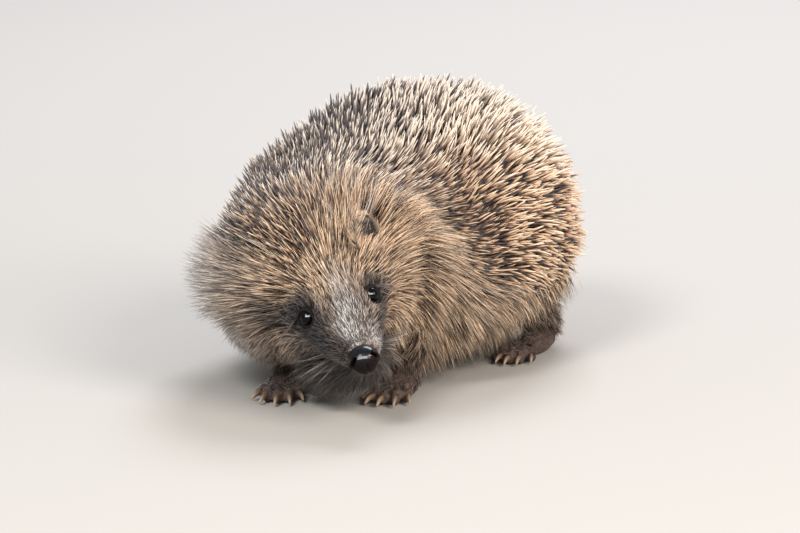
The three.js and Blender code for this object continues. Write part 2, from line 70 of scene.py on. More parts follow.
# %% [markdown]
# ## Helpers for every finish
# A colour given here is an sRGB hex value, but shaders add light in linear numbers, so one
# function turns the one into the other. Another adds a shader node with its settings and links. A
# third starts a material. A mesh can store a number at each of its points, such as how far along
# its hair the point lies, and a material reads such numbers by name.

# %% Colour, node and material helpers
BLEND = {"data_type": "RGBA"}  # the setting that makes a mix node mix colours


def colour(hex_value):
    """An sRGB hex colour as the linear RGBA that shader sockets take."""
    channels = [int(hex_value[k : k + 2], 16) / 255 for k in (1, 3, 5)]
    linear = [c / 12.92 if c <= 0.04045 else ((c + 0.055) / 1.055) ** 2.4 for c in channels]
    return (*linear, 1.0)


def feed(node, inputs):
    """Fills a node's inputs. A value that is a socket is linked, and any other is set."""
    for key, value in inputs.items():
        if isinstance(value, bpy.types.NodeSocket):
            node.id_data.links.new(value, node.inputs[key])
        else:
            node.inputs[key].default_value = value


def add(tree, kind, inputs, settings=None, stops=(), output=0):
    """Adds a node with its settings, its inputs and, on a ramp, its (place, hex colour) stops.

    Returns the node's first output socket, or the one that is named."""
    node = tree.nodes.new(kind)
    for key, value in (settings or {}).items():
        setattr(node, key, value)
    feed(node, inputs)
    for k, (place, shade) in enumerate(stops):
        elements = node.color_ramp.elements
        element = elements[k] if k < 2 else elements.new(place)
        element.position = place
        element.color = colour(shade)
    return node.outputs[output]


def material(name, *stored):
    """A new material, its node tree, its shader, and a socket for each number stored on a mesh."""
    made = bpy.data.materials.new(name)
    made.use_nodes = True
    tree = made.node_tree
    numbers = [add(tree, "ShaderNodeAttribute", {}, {"attribute_name": key}, output="Fac")
               for key in stored]
    return made, tree, tree.nodes["Principled BSDF"], numbers


def per_mm(size):
    """The scale of a texture whose features are this many millimetres across."""
    return 1000.0 / size


print("linear mid brown:", [round(c, 3) for c in colour("#7a6450")])

# %% [markdown]
# ## The body's measures
# The trunk and head are one smooth surface through seventeen rings. Each ring has a centre, three
# angles of facing, a half width, and its height above and below the centre. Trunk rings are
# measured on the floor's grid, and head rings from midway between the eyes, along the way the head
# points.

# %% The rings
TORSO = [  # x, y, turn, half width, top, widest level, underside
    [0, 75.5, 0, 5, 49, 45, 41],
    [0, 73, 0, 17, 58, 44, 30],
    [0, 66, 0, 30, 70, 43, 22],
    [0, 53, 0, 40, 81.5, 42, 17],
    [0, 36, 0, 47, 88.5, 42, 14],
    [0, 16, 0, 49, 90, 42, 13],
    [0, -4, 4, 49, 85.5, 41, 12.5],
    [1.5, -24, 11, 46.5, 79, 40, 12],
    [6, -43, 21, 42, 73, 39, 11],
]
HEAD = [  # distance forward, half width, top, underside, from midway between the eyes
    [-34, 32, 24, -34],
    [-24, 26, 19, -30],
    [-14, 20.5, 13.8, -25.5],
    [-5, 16.3, 9.3, -20.5],
    [4, 13, 4.2, -16.5],
    [12, 10.2, -0.6, -15.4],
    [18, 8.2, -3, -14.6],
    [22.5, 6.4, -4.2, -13.9],
]
EYES_MIDDLE = np.array([34.8, -88.5, 40.6])
HEAD_FACING = (47.5, 12.2, 18.0)  # turned left, nose down, left eye up, in degrees
NAPE_FACING = 0.8  # the share of these angles that the nape has turned already
print("rings:", len(TORSO), "on the trunk,", len(HEAD), "on the head")

# %% [markdown]
# ## The head's own frame
# The head is turned, nods and tilts, so its parts are placed in a frame of its own: forward, to the
# animal's left, and up. Three angles give the axes of that frame, and of every ring of the trunk.

# %% Frame of the head
def facing(turn, nod, tilt):
    """The forward, sideways (left) and upward axes of a ring, from its three angles in degrees."""
    a, b, c = (np.radians(np.asarray(angle, float)) for angle in (turn, nod, tilt))
    zero = np.zeros_like(a)
    level = np.stack([np.sin(a), -np.cos(a), zero], -1)
    left = np.stack([np.cos(a), np.sin(a), zero], -1)
    upright = np.array([0.0, 0.0, 1.0])
    up = upright * np.cos(b)[..., None] + level * np.sin(b)[..., None]
    forward = level * np.cos(b)[..., None] - upright * np.sin(b)[..., None]
    side = left * np.cos(c)[..., None] + up * np.sin(c)[..., None]
    return forward, side, up * np.cos(c)[..., None] - left * np.sin(c)[..., None]


HEAD_AXES = np.array(facing(*HEAD_FACING))  # rows: forward, side, up


def in_head(forward, side, up):
    """A point given in the head's own frame."""
    return EYES_MIDDLE + np.array([forward, side, up]) @ HEAD_AXES


def head_coordinates(points):
    """Distance forward, to the left and up from midway between the eyes."""
    return (points - EYES_MIDDLE) @ HEAD_AXES.T


print("the head points along", HEAD_AXES[0].round(2))

# %% [markdown]
# ## A skin through the rings
# A spline between the rings gives a point for every station along the body, from 0 at the rump to
# 16 at the muzzle, and every angle around it, from 0 at the top. Skin, spines and fur all grow from
# this one surface, so nothing has to be fitted by hand.

# %% Skin through the rings
def curve_through(rows, at):
    """The rows between rows, by a Catmull-Rom spline over their index."""
    last = len(rows) - 1
    i = np.clip(np.floor(at).astype(int), 0, last - 1)
    t = (at - i)[:, None]
    a, b, c, d = (rows[np.clip(i + k, 0, last)] for k in (-1, 0, 1, 2))
    return b + t * (c - a + t * (2 * a - 5 * b + 4 * c - d + t * (3 * (b - c) + d - a))) / 2


def all_rows():
    """Every ring as centre, three angles, half width, height above and height below the centre."""
    rows = [[x, y, level, turn, 0, 0, half, top - level, level - under]
            for x, y, turn, half, top, level, under in TORSO]
    for k, (forward, half, top, under) in enumerate(HEAD):
        middle = (top + under) / 2
        share = NAPE_FACING if k == 0 else 1.0
        angles = [angle * share for angle in HEAD_FACING]
        rows.append([*in_head(forward, 0, middle), *angles, half, top - middle, middle - under])
    return np.array(rows, float)


ROWS = all_rows()
LAST = len(ROWS) - 1


def skin_point(station, angle):
    """The skin at a station along the body and an angle from the top, towards the animal's left."""
    station, angle = np.broadcast_arrays(np.asarray(station, float), np.asarray(angle, float))
    rows = curve_through(ROWS, station.ravel())
    _, side, up = facing(rows[:, 3], rows[:, 4], rows[:, 5])
    turn = angle.ravel()
    height = np.cos(turn)
    reach = np.where(height > 0, rows[:, 7], rows[:, 8]) * height
    points = rows[:, :3] + side * (rows[:, 6] * np.sin(turn))[:, None] + up * reach[:, None]
    return points.reshape(station.shape + (3,))


def unit(vectors):
    """The same directions with a length of 1."""
    return vectors / np.maximum(np.linalg.norm(vectors, axis=-1, keepdims=True), 1e-9)


def skin_axes(station, angle, step=0.02):
    """The direction along the skin towards the tail, and the outward normal."""
    back = unit(skin_point(np.maximum(station - step, 0), angle)
                - skin_point(np.minimum(station + step, LAST), angle))
    around = skin_point(station, angle + step) - skin_point(station, angle - step)
    normal = unit(np.cross(around, back))
    rear = np.clip(1 - station, 0, 1)[..., None]  # the last normals turn straight back at the rump
    return back, unit(normal * (1 - rear) + np.array([0, 1.0, 0]) * rear)


print("top of the back in mm:", skin_point(5, 0).round(1))

# %% [markdown]
# ## Eyes and ears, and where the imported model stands
# The eyes and ears are placed in the head's frame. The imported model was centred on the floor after
# it was made, so all measures have to be moved by as much. The left eye shows by how much: its
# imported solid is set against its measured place.

# %% Eyes, ears and the shift
EYE_RADIUS = 3.1
EYE = (-0.9, 11.8, -0.4)  # forward, to the left and up, in the head's frame
EAR_ROOT = (-14.5, 16.4, 2.5)
EAR_AXIS = {1: (-0.3, 0.34, 0.89), -1: (-0.6, 0.3, 0.74)}  # left is 1, and the right is laid back
EAR_FACING = {1: (0.8, 0.6, 0.0), -1: (0.55, 0.6, 0.5)}
EAR = [  # height, half width, depth
    [0, 4.2, 3.2], [5, 5.8, 4.4], [10, 7, 4.8], [14.5, 6.2, 4], [17.6, 4, 2.8], [18.9, 2, 1.9],
]
EAR_CURVE, EAR_BEND = 0.012, 4  # how fast it bends back with its height, and how far at most


def ear_axes(sign):
    """An ear's root, the way up it, the way it faces and the way across it. 1 is left, -1 right."""
    mirror = np.array([1, sign, 1.0])
    axis = unit((np.array(EAR_AXIS[sign]) * mirror) @ HEAD_AXES)
    hint = (np.array(EAR_FACING[sign]) * mirror) @ HEAD_AXES
    faces = unit(hint - axis * (hint @ axis))
    return in_head(*(np.array(EAR_ROOT) * mirror)), axis, faces, np.cross(axis, faces)


def ear_bend(height):
    """How far an ear is bent back at a height."""
    return np.minimum(EAR_CURVE * height * height, EAR_BEND)


eye_box = np.array(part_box("eye_left")) * 1000
SHIFT = eye_box.mean(axis=0) - in_head(*EYE)  # from the measures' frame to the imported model's
print("shift in mm:", SHIFT.round(2))

# %% [markdown]
# ## The camera
# The view comes from the animal's front left, a little above its head, through a long lens, which
# keeps the head and the back in their true proportion. The aim is a point inside the body, moved
# so that the animal stands a little above and left of the middle of the frame.

# %% Camera
AZIMUTH, ELEVATION, DISTANCE = math.radians(33), math.radians(12), 1.7  # radians and metres
LENS, SENSOR = 204.3, 36.0  # in mm
BODY_MIDDLE = np.array([0, 0, 52.0])
AIM_RIGHT, AIM_UP = 2.5, -16.4  # how far the aim is moved, in the picture
right = np.array([math.cos(AZIMUTH), math.sin(AZIMUTH), 0.0])
toward = np.array([math.sin(AZIMUTH) * math.cos(ELEVATION),
                   -math.cos(AZIMUTH) * math.cos(ELEVATION), math.sin(ELEVATION)])
above = np.cross(toward, right)
aim = (BODY_MIDDLE + SHIFT + AIM_RIGHT * right + AIM_UP * above) / 1000

camera_data = bpy.data.cameras.new("camera")
camera_data.lens = LENS
camera_data.sensor_width = SENSOR
camera_data.clip_end = 30.0
camera = bpy.data.objects.new("camera", camera_data)
bpy.context.collection.objects.link(camera)
stand = Matrix(np.column_stack([right, above, toward]).tolist()).to_4x4()
stand.translation = Vector(aim + toward * DISTANCE)
camera.matrix_world = stand
bpy.context.scene.camera = camera
print("camera at", [round(v, 3) for v in stand.translation])

# %% [markdown]
# ## Floor
# A studio sweep: a pale matt floor that runs out of the picture. Matt emulsion paint scatters light
# evenly, so it takes soft shadows and no reflections, and a broad, faint mottle keeps it from
# looking like a flat fill.

# %% Floor
FLOOR_SIZE = 16  # metres


def floor_paint():
    """Matt emulsion paint, rolled on: even, chalky, with a faint mottle."""
    made, tree, shader, _ = material("matt_floor_paint")
    grain = add(tree, "ShaderNodeTexNoise", {"Scale": per_mm(60), "Detail": 3.0})
    shade = add(tree, "ShaderNodeValToRGB", {"Fac": grain},
                stops=[(0.0, "#adaba7"), (1.0, "#b3b1ad")])
    feed(shader, {"Base Color": shade, "Roughness": 0.85})
    return made


bpy.ops.mesh.primitive_plane_add(size=FLOOR_SIZE)
floor = bpy.context.object
floor.name = "floor"
floor.data.materials.append(floor_paint())
print("floor:", FLOOR_SIZE, "m square")

# %% [markdown]
# ## Lamps
# One broad soft lamp above and in front models the head. A second warms the animal's left flank,
# and a third behind draws the tips of the spines against the floor. A pale, weak world fills in.

# %% Lamps
LAMPS = {  # place and size in metres, power in watts, tint
    "key_lamp": ((0.05, -1.15, 1.2), 0.46, 17, "#fffaf4"),
    "side_lamp": ((1.4, -0.3, 0.9), 0.9, 28, "#fff2e6"),
    "rim_lamp": ((-0.4, 1.1, 1.3), 0.7, 25, "#f7f7ff"),
}
LIT_SPOT = Vector((0, 0, 0.05))  # all lamps point at the middle of the body


def lamp(name, place, size, power, tint):
    """A square area lamp that points at the body."""
    data = bpy.data.lights.new(name, "AREA")
    data.size = size
    data.energy = power
    data.color = colour(tint)[:3]
    made = bpy.data.objects.new(name, data)
    bpy.context.collection.objects.link(made)
    made.location = place
    made.rotation_euler = (LIT_SPOT - Vector(place)).to_track_quat("-Z", "Y").to_euler()
    return made


for name, facts in LAMPS.items():
    lamp(name, *facts)
world = bpy.data.worlds.new("studio")
world.use_nodes = True
feed(world.node_tree.nodes["Background"], {"Color": colour("#eceff2"), "Strength": 0.55})
bpy.context.scene.world = world
bpy.context.scene.view_settings.view_transform = "Standard"
print("lamps:", len(LAMPS))

# %% [markdown]
# ## Fields over the body
# Markings, lengths and the lie of the hair all change smoothly over the body. A few small functions
# give such changes: a step with soft edges, a value between the entries of a list, a slow random
# wander, and how near a point is to a line.

# %% Smooth fields
WAVES = 24  # how many waves a wander is the sum of


def between(values, at):
    """A value between the entries of a list."""
    return np.interp(at, np.arange(len(values)), values)


def smooth(value, low, high):
    """0 below low, 1 above high, and an S-curve between them."""
    t = np.clip((value - low) / (high - low), 0, 1)
    return t * t * (3 - 2 * t)


def drift(points, size, seed):
    """A smooth random value with a spread of 1 that changes over this many millimetres."""
    source = np.random.default_rng(seed)
    ways = source.normal(0, 1 / size, (WAVES, 3))
    phases = source.uniform(0, 2 * math.pi, WAVES)
    return np.cos(points @ ways.T + phases).sum(axis=1) * math.sqrt(2 / WAVES)


def near_line(points, start, end, radius):
    """1 on a line between two points and falling smoothly to 0 at a distance from it."""
    start, end = np.array(start, float), np.array(end, float)
    way = end - start
    t = np.clip((points - start) @ way / (way @ way), 0, 1)
    distance = np.linalg.norm(points - start - t[:, None] * way, axis=1)
    return 1 - smooth(distance, 0.3 * radius, radius)


print("halfway up an S-curve:", smooth(0.5, 0, 1))

# %% [markdown]
# ## Markings
# A hedgehog's face is not one colour: slate round the eyes and along the muzzle, grey-white on the
# bridge of the nose, tan on the brow and the left cheek, and a pale fringe at the right cheek. The
# skin and the hairs that grow from it have to agree, so one function gives the strength of each
# marking at any point of the body, and both read it.

# %% Markings
DARK_LINES = [  # start, end, radius and strength, in the head's frame
    ((-13, -18.5, -2), (0, -13, -1), 8, 0.7),  # behind the right eye
    ((-3, -12.5, 1), (2, -11.5, -3), 6.5, 1),  # round it
    ((-1, -12.5, -1), (12, -9, -6), 9.5, 1),  # from it to the muzzle
    ((12, -9, -6), (22, -5, -7), 5.5, 0.8),  # along the muzzle
    ((-2, 12, -0.5), (1.5, 12, -2), 6.5, 0.95),  # round the left eye
    ((-3.5, 13.5, 0), (4, 12.5, -5), 4.8, 0.9),  # under it
    ((4, 12.5, -5), (13, 9, -8), 5.5, 0.68),  # from it to the muzzle
    ((0, -12.5, -13), (20, -5, -13), 9.5, 0.68),  # the right lip
    ((-18, -4, -33), (12, 0, -20), 17, 0.97),  # the throat
]
BRIDGE_LINE = ((-2, 2.4, 4.5), (21.5, 0.4, -4.5), 7.3)
PALE_LINES = [
    ((16, 7.5, -6.5), (21, 6, -8), 5.5, 0.7),  # left of the nose
    ((10, -9.5, -13), (19, -6.5, -10), 4.5, 0.5),  # right of the nose
]


def lines(head, table):
    """The strength of each line of a table."""
    return [near_line(head, start, end, radius) * share for start, end, radius, share in table]


def markings(points):
    """The strength of each marking at points in the measures' frame: dark, pale and warm."""
    wander = np.stack([drift(points, 3.0, seed) for seed in (11, 12, 13)], 1)
    head = head_coordinates(points + 0.7 * wander)
    forward, side, up = head.T
    dark = np.maximum.reduce(lines(head, DARK_LINES))
    bridge = near_line(head, *BRIDGE_LINE) * (0.42 + 0.58 * smooth(forward, 1, 11))
    fringe = smooth(-side, 20, 31) * smooth(-forward, 10, 34) * (1 - smooth(up, 4, 15)) * 0.8
    pale = np.maximum.reduce([bridge, fringe * (forward > -75), *lines(head, PALE_LINES)])
    brow = smooth(up, -4, 6) * smooth(forward, -44, -26) * (1 - smooth(forward, -2, 8))
    brow *= smooth(side, -26, -12)
    cheek = smooth(side, 8, 14) * smooth(forward, -50, -30)
    # The flank's warmth is painted warm light: strong on the animal's left flank, faint on the
    # right.
    lit_flank = 0.25 + 0.6 * smooth(points[:, 0], 4, 38)
    warm = np.clip(np.maximum.reduce([brow, cheek, lit_flank * (forward < -10)]), 0, 1)
    below = smooth(28 - points[:, 2], 0, 20)  # duller and darker towards the floor, up to 28 mm above it
    dark = np.clip(np.maximum(dark, 0.5 * below), 0, 1)
    pale = np.clip(pale, 0, 1) * (1 - 0.75 * dark)
    return {"dark": dark, "pale": pale, "warm": warm * (1 - 0.75 * below)}


sample = markings(np.array([in_head(15, 0, 0), in_head(3, -11, -3), in_head(-15, 0, 14)]))
print("bridge, mask, brow:", {key: value.round(2).tolist() for key, value in sample.items()})

# %% [markdown]
# ## Making meshes from arrays
# Blender's operators are too slow for tens of thousands of hairs, so every mesh here is filled from
# numpy arrays in one go. Each finished mesh becomes a piece that rides on the animal's one body and
# takes one finish.

# %% Mesh helpers
def finished(name, mesh, surface):
    """Links a mesh as a piece that rides on the animal's one body."""
    piece = bpy.data.objects.new(name, mesh)
    bpy.context.collection.objects.link(piece)
    mesh.materials.append(surface)
    mesh.polygons.foreach_set("use_smooth", np.ones(len(mesh.polygons), bool))
    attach(piece, "root")
    return piece


def array_mesh(name, points, corners, starts):
    """A mesh from points in millimetres and flat lists of face corners."""
    mesh = bpy.data.meshes.new(name)
    mesh.vertices.add(len(points))
    mesh.vertices.foreach_set("co", ((points + SHIFT) / 1000).astype(np.float32).ravel())
    mesh.loops.add(len(corners))
    mesh.loops.foreach_set("vertex_index", corners.astype(np.int32))
    mesh.polygons.add(len(starts))
    mesh.polygons.foreach_set("loop_start", starts.astype(np.int32))
    mesh.update(calc_edges=True)
    return mesh


def keep_values(mesh, values):
    """Stores one number a point for each name, for the materials to read."""
    for name, value in values.items():
        layer = mesh.attributes.new(name, "FLOAT", "POINT")
        layer.data.foreach_set("value", np.asarray(value, np.float32))


def grid_faces(rings, sides, closed):
    """Quads of a grid of rings, closed end to end for a ring-shaped piece."""
    last = rings if closed else rings - 1
    j, k = np.meshgrid(np.arange(last), np.arange(sides), indexing="ij")
    after, beside = (j + 1) % rings, (k + 1) % sides
    quads = [j * sides + k, j * sides + beside, after * sides + beside, after * sides + k]
    return np.stack(quads, -1).reshape(-1, 4)


def grid_mesh(name, grids, closed=False):
    """A mesh from grids of points, the ends of each closed with one face unless it is a ring."""
    points, corners, starts = [], [], []
    for grid in grids:
        n, sides, _ = grid.shape
        first, begin = sum(map(len, points)), sum(map(len, corners))
        quads = grid_faces(n, sides, closed)
        points.append(grid.reshape(-1, 3))
        corners.append(quads.ravel() + first)
        starts.append(np.arange(len(quads)) * 4 + begin)
        if not closed:
            ends = np.concatenate([np.arange(sides)[::-1], np.arange((n - 1) * sides, n * sides)])
            corners.append(ends + first)
            starts.append(quads.size + np.array([0, sides]) + begin)
    return array_mesh(name, *map(np.concatenate, (points, corners, starts)))


print("faces of a grid of 3 by 4 points:", len(grid_faces(3, 4, False)))

# %% [markdown]
# ## Strands
# A hair or spine is a closed, tapering tube of three or five sides that bends from one direction to
# another. Each kind of strand has one small pattern of faces, and numpy repeats it for all of them
# at once. Each point stores how far along its strand it lies, and each tuft has its own small patch
# on an unwrap of the skin, in the UV map that a bake would use.

# %% Strands
PATCH = 0.003  # how wide a tuft's patch is on the unwrapped skin
MOST_TRIANGLES = 185000  # in one coat piece


def tube_pattern(rings, sides):
    """The faces of one closed strand: its root, its rings and its point."""
    faces = [list(range(sides))[::-1]]
    for j in range(rings - 1):
        for k in range(sides):
            n = (k + 1) % sides
            faces.append([j * sides + k, j * sides + n, (j + 1) * sides + n, (j + 1) * sides + k])
    top = (rings - 1) * sides
    faces += [[top + k, top + (k + 1) % sides, rings * sides] for k in range(sides)]
    return faces


def strand_points(data, profile, sides, along):
    """The points of each strand, ring by ring and then its tip."""
    start, end, length = data["start"], data["end"], data["length"][:, None]
    path = [data["root"] + length * (start * (t - t * t / 2) + end * (t * t / 2)) for t in along]
    wide = unit(np.cross(start, data["normal"]) + 1e-6)
    points = np.empty((len(start), len(profile) * sides + 1, 3))
    for j, (_, radius) in enumerate(profile):
        deep = unit(np.cross(wide, unit(start * (1 - along[j]) + end * along[j])))
        for k in range(sides):
            phi = 2 * math.pi * k / sides
            ring = wide * math.cos(phi) - deep * math.sin(phi)
            points[:, j * sides + k] = path[j] + ring * (data["radius"] * radius)[:, None]
    points[:, -1] = path[-1]
    return points


def strands(name, surface, coat, profile, sides):
    """Builds strands as one or more pieces. The profile is a list of (place along, thickness)."""
    faces = tube_pattern(len(profile), sides)
    flat = np.array([corner for face in faces for corner in face])
    begins = np.cumsum([0] + [len(face) for face in faces[:-1]])
    triangles = sum(len(face) - 2 for face in faces)
    along = np.array([t for t, _ in profile] + [1.0])
    along_at = np.concatenate([np.repeat(along[:-1], sides), along[-1:]])
    across_at = np.concatenate([np.tile((np.arange(sides) + 0.5) / sides, len(profile)), [0.5]])
    count = len(coat["root"])
    parts = max(1, math.ceil(count * triangles / MOST_TRIANGLES))
    for part, chosen in enumerate(np.array_split(np.arange(count), parts)):
        data = {key: value[chosen] for key, value in coat.items()}
        n = len(chosen)
        points = strand_points(data, profile, sides, along)
        per = points.shape[1]
        order = np.arange(n)[:, None]
        corners = (flat + order * per).ravel()
        mesh = array_mesh(name, points.reshape(-1, 3), corners,
                          (begins + order * len(flat)).ravel())
        u = data["uv"][:, :1] + (across_at - 0.5) * data["patch"][:, None]
        v = data["uv"][:, 1:] + (along_at - 0.5) * PATCH
        unwrap = np.stack([u, v], -1).reshape(-1, 2)
        layer = mesh.uv_layers.new(name="OFBake")
        layer.data.foreach_set("uv", unwrap[corners].astype(np.float32).ravel())
        values = {"along": np.tile(along_at, n)}
        for key in ("tone", "dark", "pale", "warm"):
            values[key] = np.repeat(data[key], per)
        keep_values(mesh, values)
        finished(name if parts == 1 else f"{name}_{part + 1}", mesh, surface)
    print(f"{name}: {count} strands, {count * triangles} triangles, {parts} pieces")


print("faces of one spine:", len(tube_pattern(4, 5)))

# %% [markdown]
# ## Where hairs and spines grow
# Seats are laid out in staggered rings around the body, moved a little at random and thinned where
# the turned neck crowds the rings together, so that the coat is even but shows no rows. One seeded
# source gives all random numbers, so every run grows the same coat.

# %% Seats on the body
SPINE_EDGE_LEFT = [95, 100, 104, 106, 108, 108, 106, 100, 86, 58, 24, -20]  # degrees from the top
SPINE_EDGE_RIGHT = [95, 100, 104, 106, 108, 107, 103, 94, 78, 60, 51, 36, -30]
GIRTH_POINTS = 49  # how finely a ring is measured

chance = np.random.default_rng(7)


def some(low, high, count):
    """Random numbers between two bounds."""
    return chance.uniform(low, high, count)


def spine_edge(station, left):
    """Where the spines end, in degrees from the top, on the left or the right side."""
    return np.where(left, between(SPINE_EDGE_LEFT, station), between(SPINE_EDGE_RIGHT, station))


def past_spines(station, angle):
    """How many degrees of the way round the body a place is past the spines' edge."""
    return np.degrees(np.abs(angle)) - spine_edge(station, angle > 0)


def body_seats(spacing, first, last):
    """Evenly spread seats over the body: stations and angles."""
    found = []
    station = first
    odd = 0
    ring = np.linspace(-math.pi, math.pi, GIRTH_POINTS)
    while station < last:
        here = skin_point(np.full(GIRTH_POINTS, station), ring)
        ahead = skin_point(np.full(GIRTH_POINTS, station + 0.05), ring)
        girth = np.linalg.norm(np.diff(here, axis=0), axis=1).sum()
        stride = np.linalg.norm(ahead - here, axis=1) / 0.05
        count = max(6, int(girth / spacing))
        turn = (np.arange(count) + odd / 2 + some(-0.42, 0.42, count)) / count
        angle = 2 * math.pi * (turn % 1) - math.pi
        keep = some(0, 1, count) < np.interp(angle, ring, stride) / stride.max()
        jitter = some(-0.4, 0.4, count) * spacing / stride.max()
        found.append(np.stack([station + jitter, angle], 1)[keep])
        station += spacing * 0.87 / stride.max()
        odd = 1 - odd
    seats = np.concatenate(found)
    return seats[(seats[:, 0] > 0.02) & (seats[:, 0] < LAST - 0.02)]


print("seats 10 mm apart:", len(body_seats(10, 0.3, LAST)))

# %% [markdown]
# ## What a strand is made from
# Each strand has a root, the skin's normal there, a direction at its root and one at its tip, a
# length and a radius. Its direction is first laid along the skin, then turned aside a little, then
# raised to its lean. It also knows its markings and its place on the unwrapped skin: the angle
# around the body and the station along it.

# %% Directions and values of strands
FLOOR_GAP = 0.8  # how far hair keeps off the floor
HAIR_ROOT_DEPTH = 0.5  # how far hair is sunk into the skin
DOWN = np.array([0, 0, -1.0])


def lying(back, normal, sag):
    """The way a hair lies along the skin: towards the tail, and drawn down by its weight."""
    lie = back + DOWN * sag[:, None]
    return unit(lie - normal * np.sum(lie * normal, 1, keepdims=True))


def swayed(lie, normal, degrees):
    """Turns a direction along the skin aside, about the normal."""
    a = np.radians(degrees)[:, None]
    return lie * np.cos(a) + np.cross(normal, lie) * np.sin(a)


def leaning(normal, lie, degrees):
    """A direction between upright and flat."""
    a = np.radians(degrees)[:, None]
    return normal * np.cos(a) + lie * np.sin(a)


def above_floor(root, start, end, length):
    """Shortens the hairs whose points would reach the floor."""
    drop = -(start[:, 2] + end[:, 2]) / 2 * length
    room = root[:, 2] + SHIFT[2] - FLOOR_GAP
    return length * np.where(drop > room, np.clip(room / np.maximum(drop, 1e-6), 0.1, 1), 1)


def rest_of_coat(seats, root, normal, start, end, length, radius, patch=PATCH):
    """The arrays that strands() reads, with the markings at each root."""
    count = len(seats)
    coat = {
        "root": root, "normal": normal, "start": start, "end": end, "length": length,
        "radius": radius, "tone": some(0, 1, count), "patch": np.full(count, patch),
        "uv": np.stack([0.02 + 0.96 * (seats[:, 1] / (2 * math.pi) + 0.5),
                        0.02 + 0.96 * seats[:, 0] / LAST], 1),
    }
    coat.update(markings(root))
    return coat


print("hair keeps", FLOOR_GAP, "mm off the floor")

# %% [markdown]
# ## The finish of the spines
# A spine is a hollow, stiffened hair of keratin: cream, with one dark brown band below its pale
# point, and a low satin gloss. Its colour runs along its length, so it comes from a ramp over the
# number that each strand stores along itself. The band moves a little from spine to spine. A warm
# ramp gives the tan of the brow and painted warm light on the left flank, and a cool one, with a
# slate band nearer the point, gives painted cool shade on the crest and the right side.

# %% Spine keratin
BAND_MOVE, BAND_START = 0.26, -0.12  # how a spine's tone moves its band, in shares of its length
# WARM_SPINE bands a spine in painted warm light, and gives the brow's tan; COOL_SPINE bands it in
# painted cool shade.
WARM_SPINE = [
    (0.0, "#3e3029"), (1.0, "#f4e0c8"), (0.28, "#8f725b"), (0.40, "#5c4436"), (0.48, "#241b17"),
    (0.66, "#2a1f1a"), (0.74, "#93705a"), (0.81, "#dcb995"), (0.93, "#ebceae"),
]
COOL_SPINE = [
    (0.0, "#423a36"), (1.0, "#d9cfc3"), (0.34, "#857a71"), (0.54, "#aea195"), (0.61, "#4a4b57"),
    (0.66, "#1c212e"), (0.87, "#262d3c"), (0.93, "#85807d"), (0.97, "#c2b7ab"),
]


def spine_keratin():
    """Grown keratin, hard and smooth: a satin gloss, broken by fine ridges.

    The real ridges are a tenth of a millimetre apart, and are drawn coarser so that they show."""
    made, tree, shader, (along, tone, warm) = material(
        "spine_keratin_satin", "along", "tone", "warm")
    moved = add(tree, "ShaderNodeMath", {0: tone, 1: BAND_MOVE, 2: BAND_START},
                {"operation": "MULTIPLY_ADD"})
    where = add(tree, "ShaderNodeMath", {0: along, 1: moved}, {"operation": "ADD"})
    warm_shade = add(tree, "ShaderNodeValToRGB", {"Fac": where}, stops=WARM_SPINE)
    cool_shade = add(tree, "ShaderNodeValToRGB", {"Fac": where}, stops=COOL_SPINE)
    shade = add(tree, "ShaderNodeMix", {"Factor": warm, "A": cool_shade, "B": warm_shade}, BLEND,
                output="Result")
    ridges = add(tree, "ShaderNodeTexNoise", {"Scale": per_mm(0.5), "Detail": 2.0})
    bump = add(tree, "ShaderNodeBump", {"Strength": 0.15, "Distance": 0.0001, "Height": ridges})
    feed(shader, {"Base Color": shade, "Roughness": 0.45, "IOR": 1.5, "Normal": bump})
    return made


SPINE_KERATIN = spine_keratin()
print("finish:", SPINE_KERATIN.name)

# %% [markdown]
# ## The spines
# Some nine thousand spines cover the back from the brow to the rump, each up to 20 mm long and a
# millimetre thick, and finer towards the brow. They lean back along the body, sag down the flanks,
# and cross a little. Sunk a little into the skin, they leave no gap at their roots.

# %% Spines
SPINE_PROFILE = [(0, 0.7), (0.35, 1), (0.8, 0.85), (0.94, 0.42)]
SPINE_RADII = ([0, 5.5, 7.5, 9, 11], [0.53, 0.5, 0.4, 0.3, 0.24])  # stations, radii


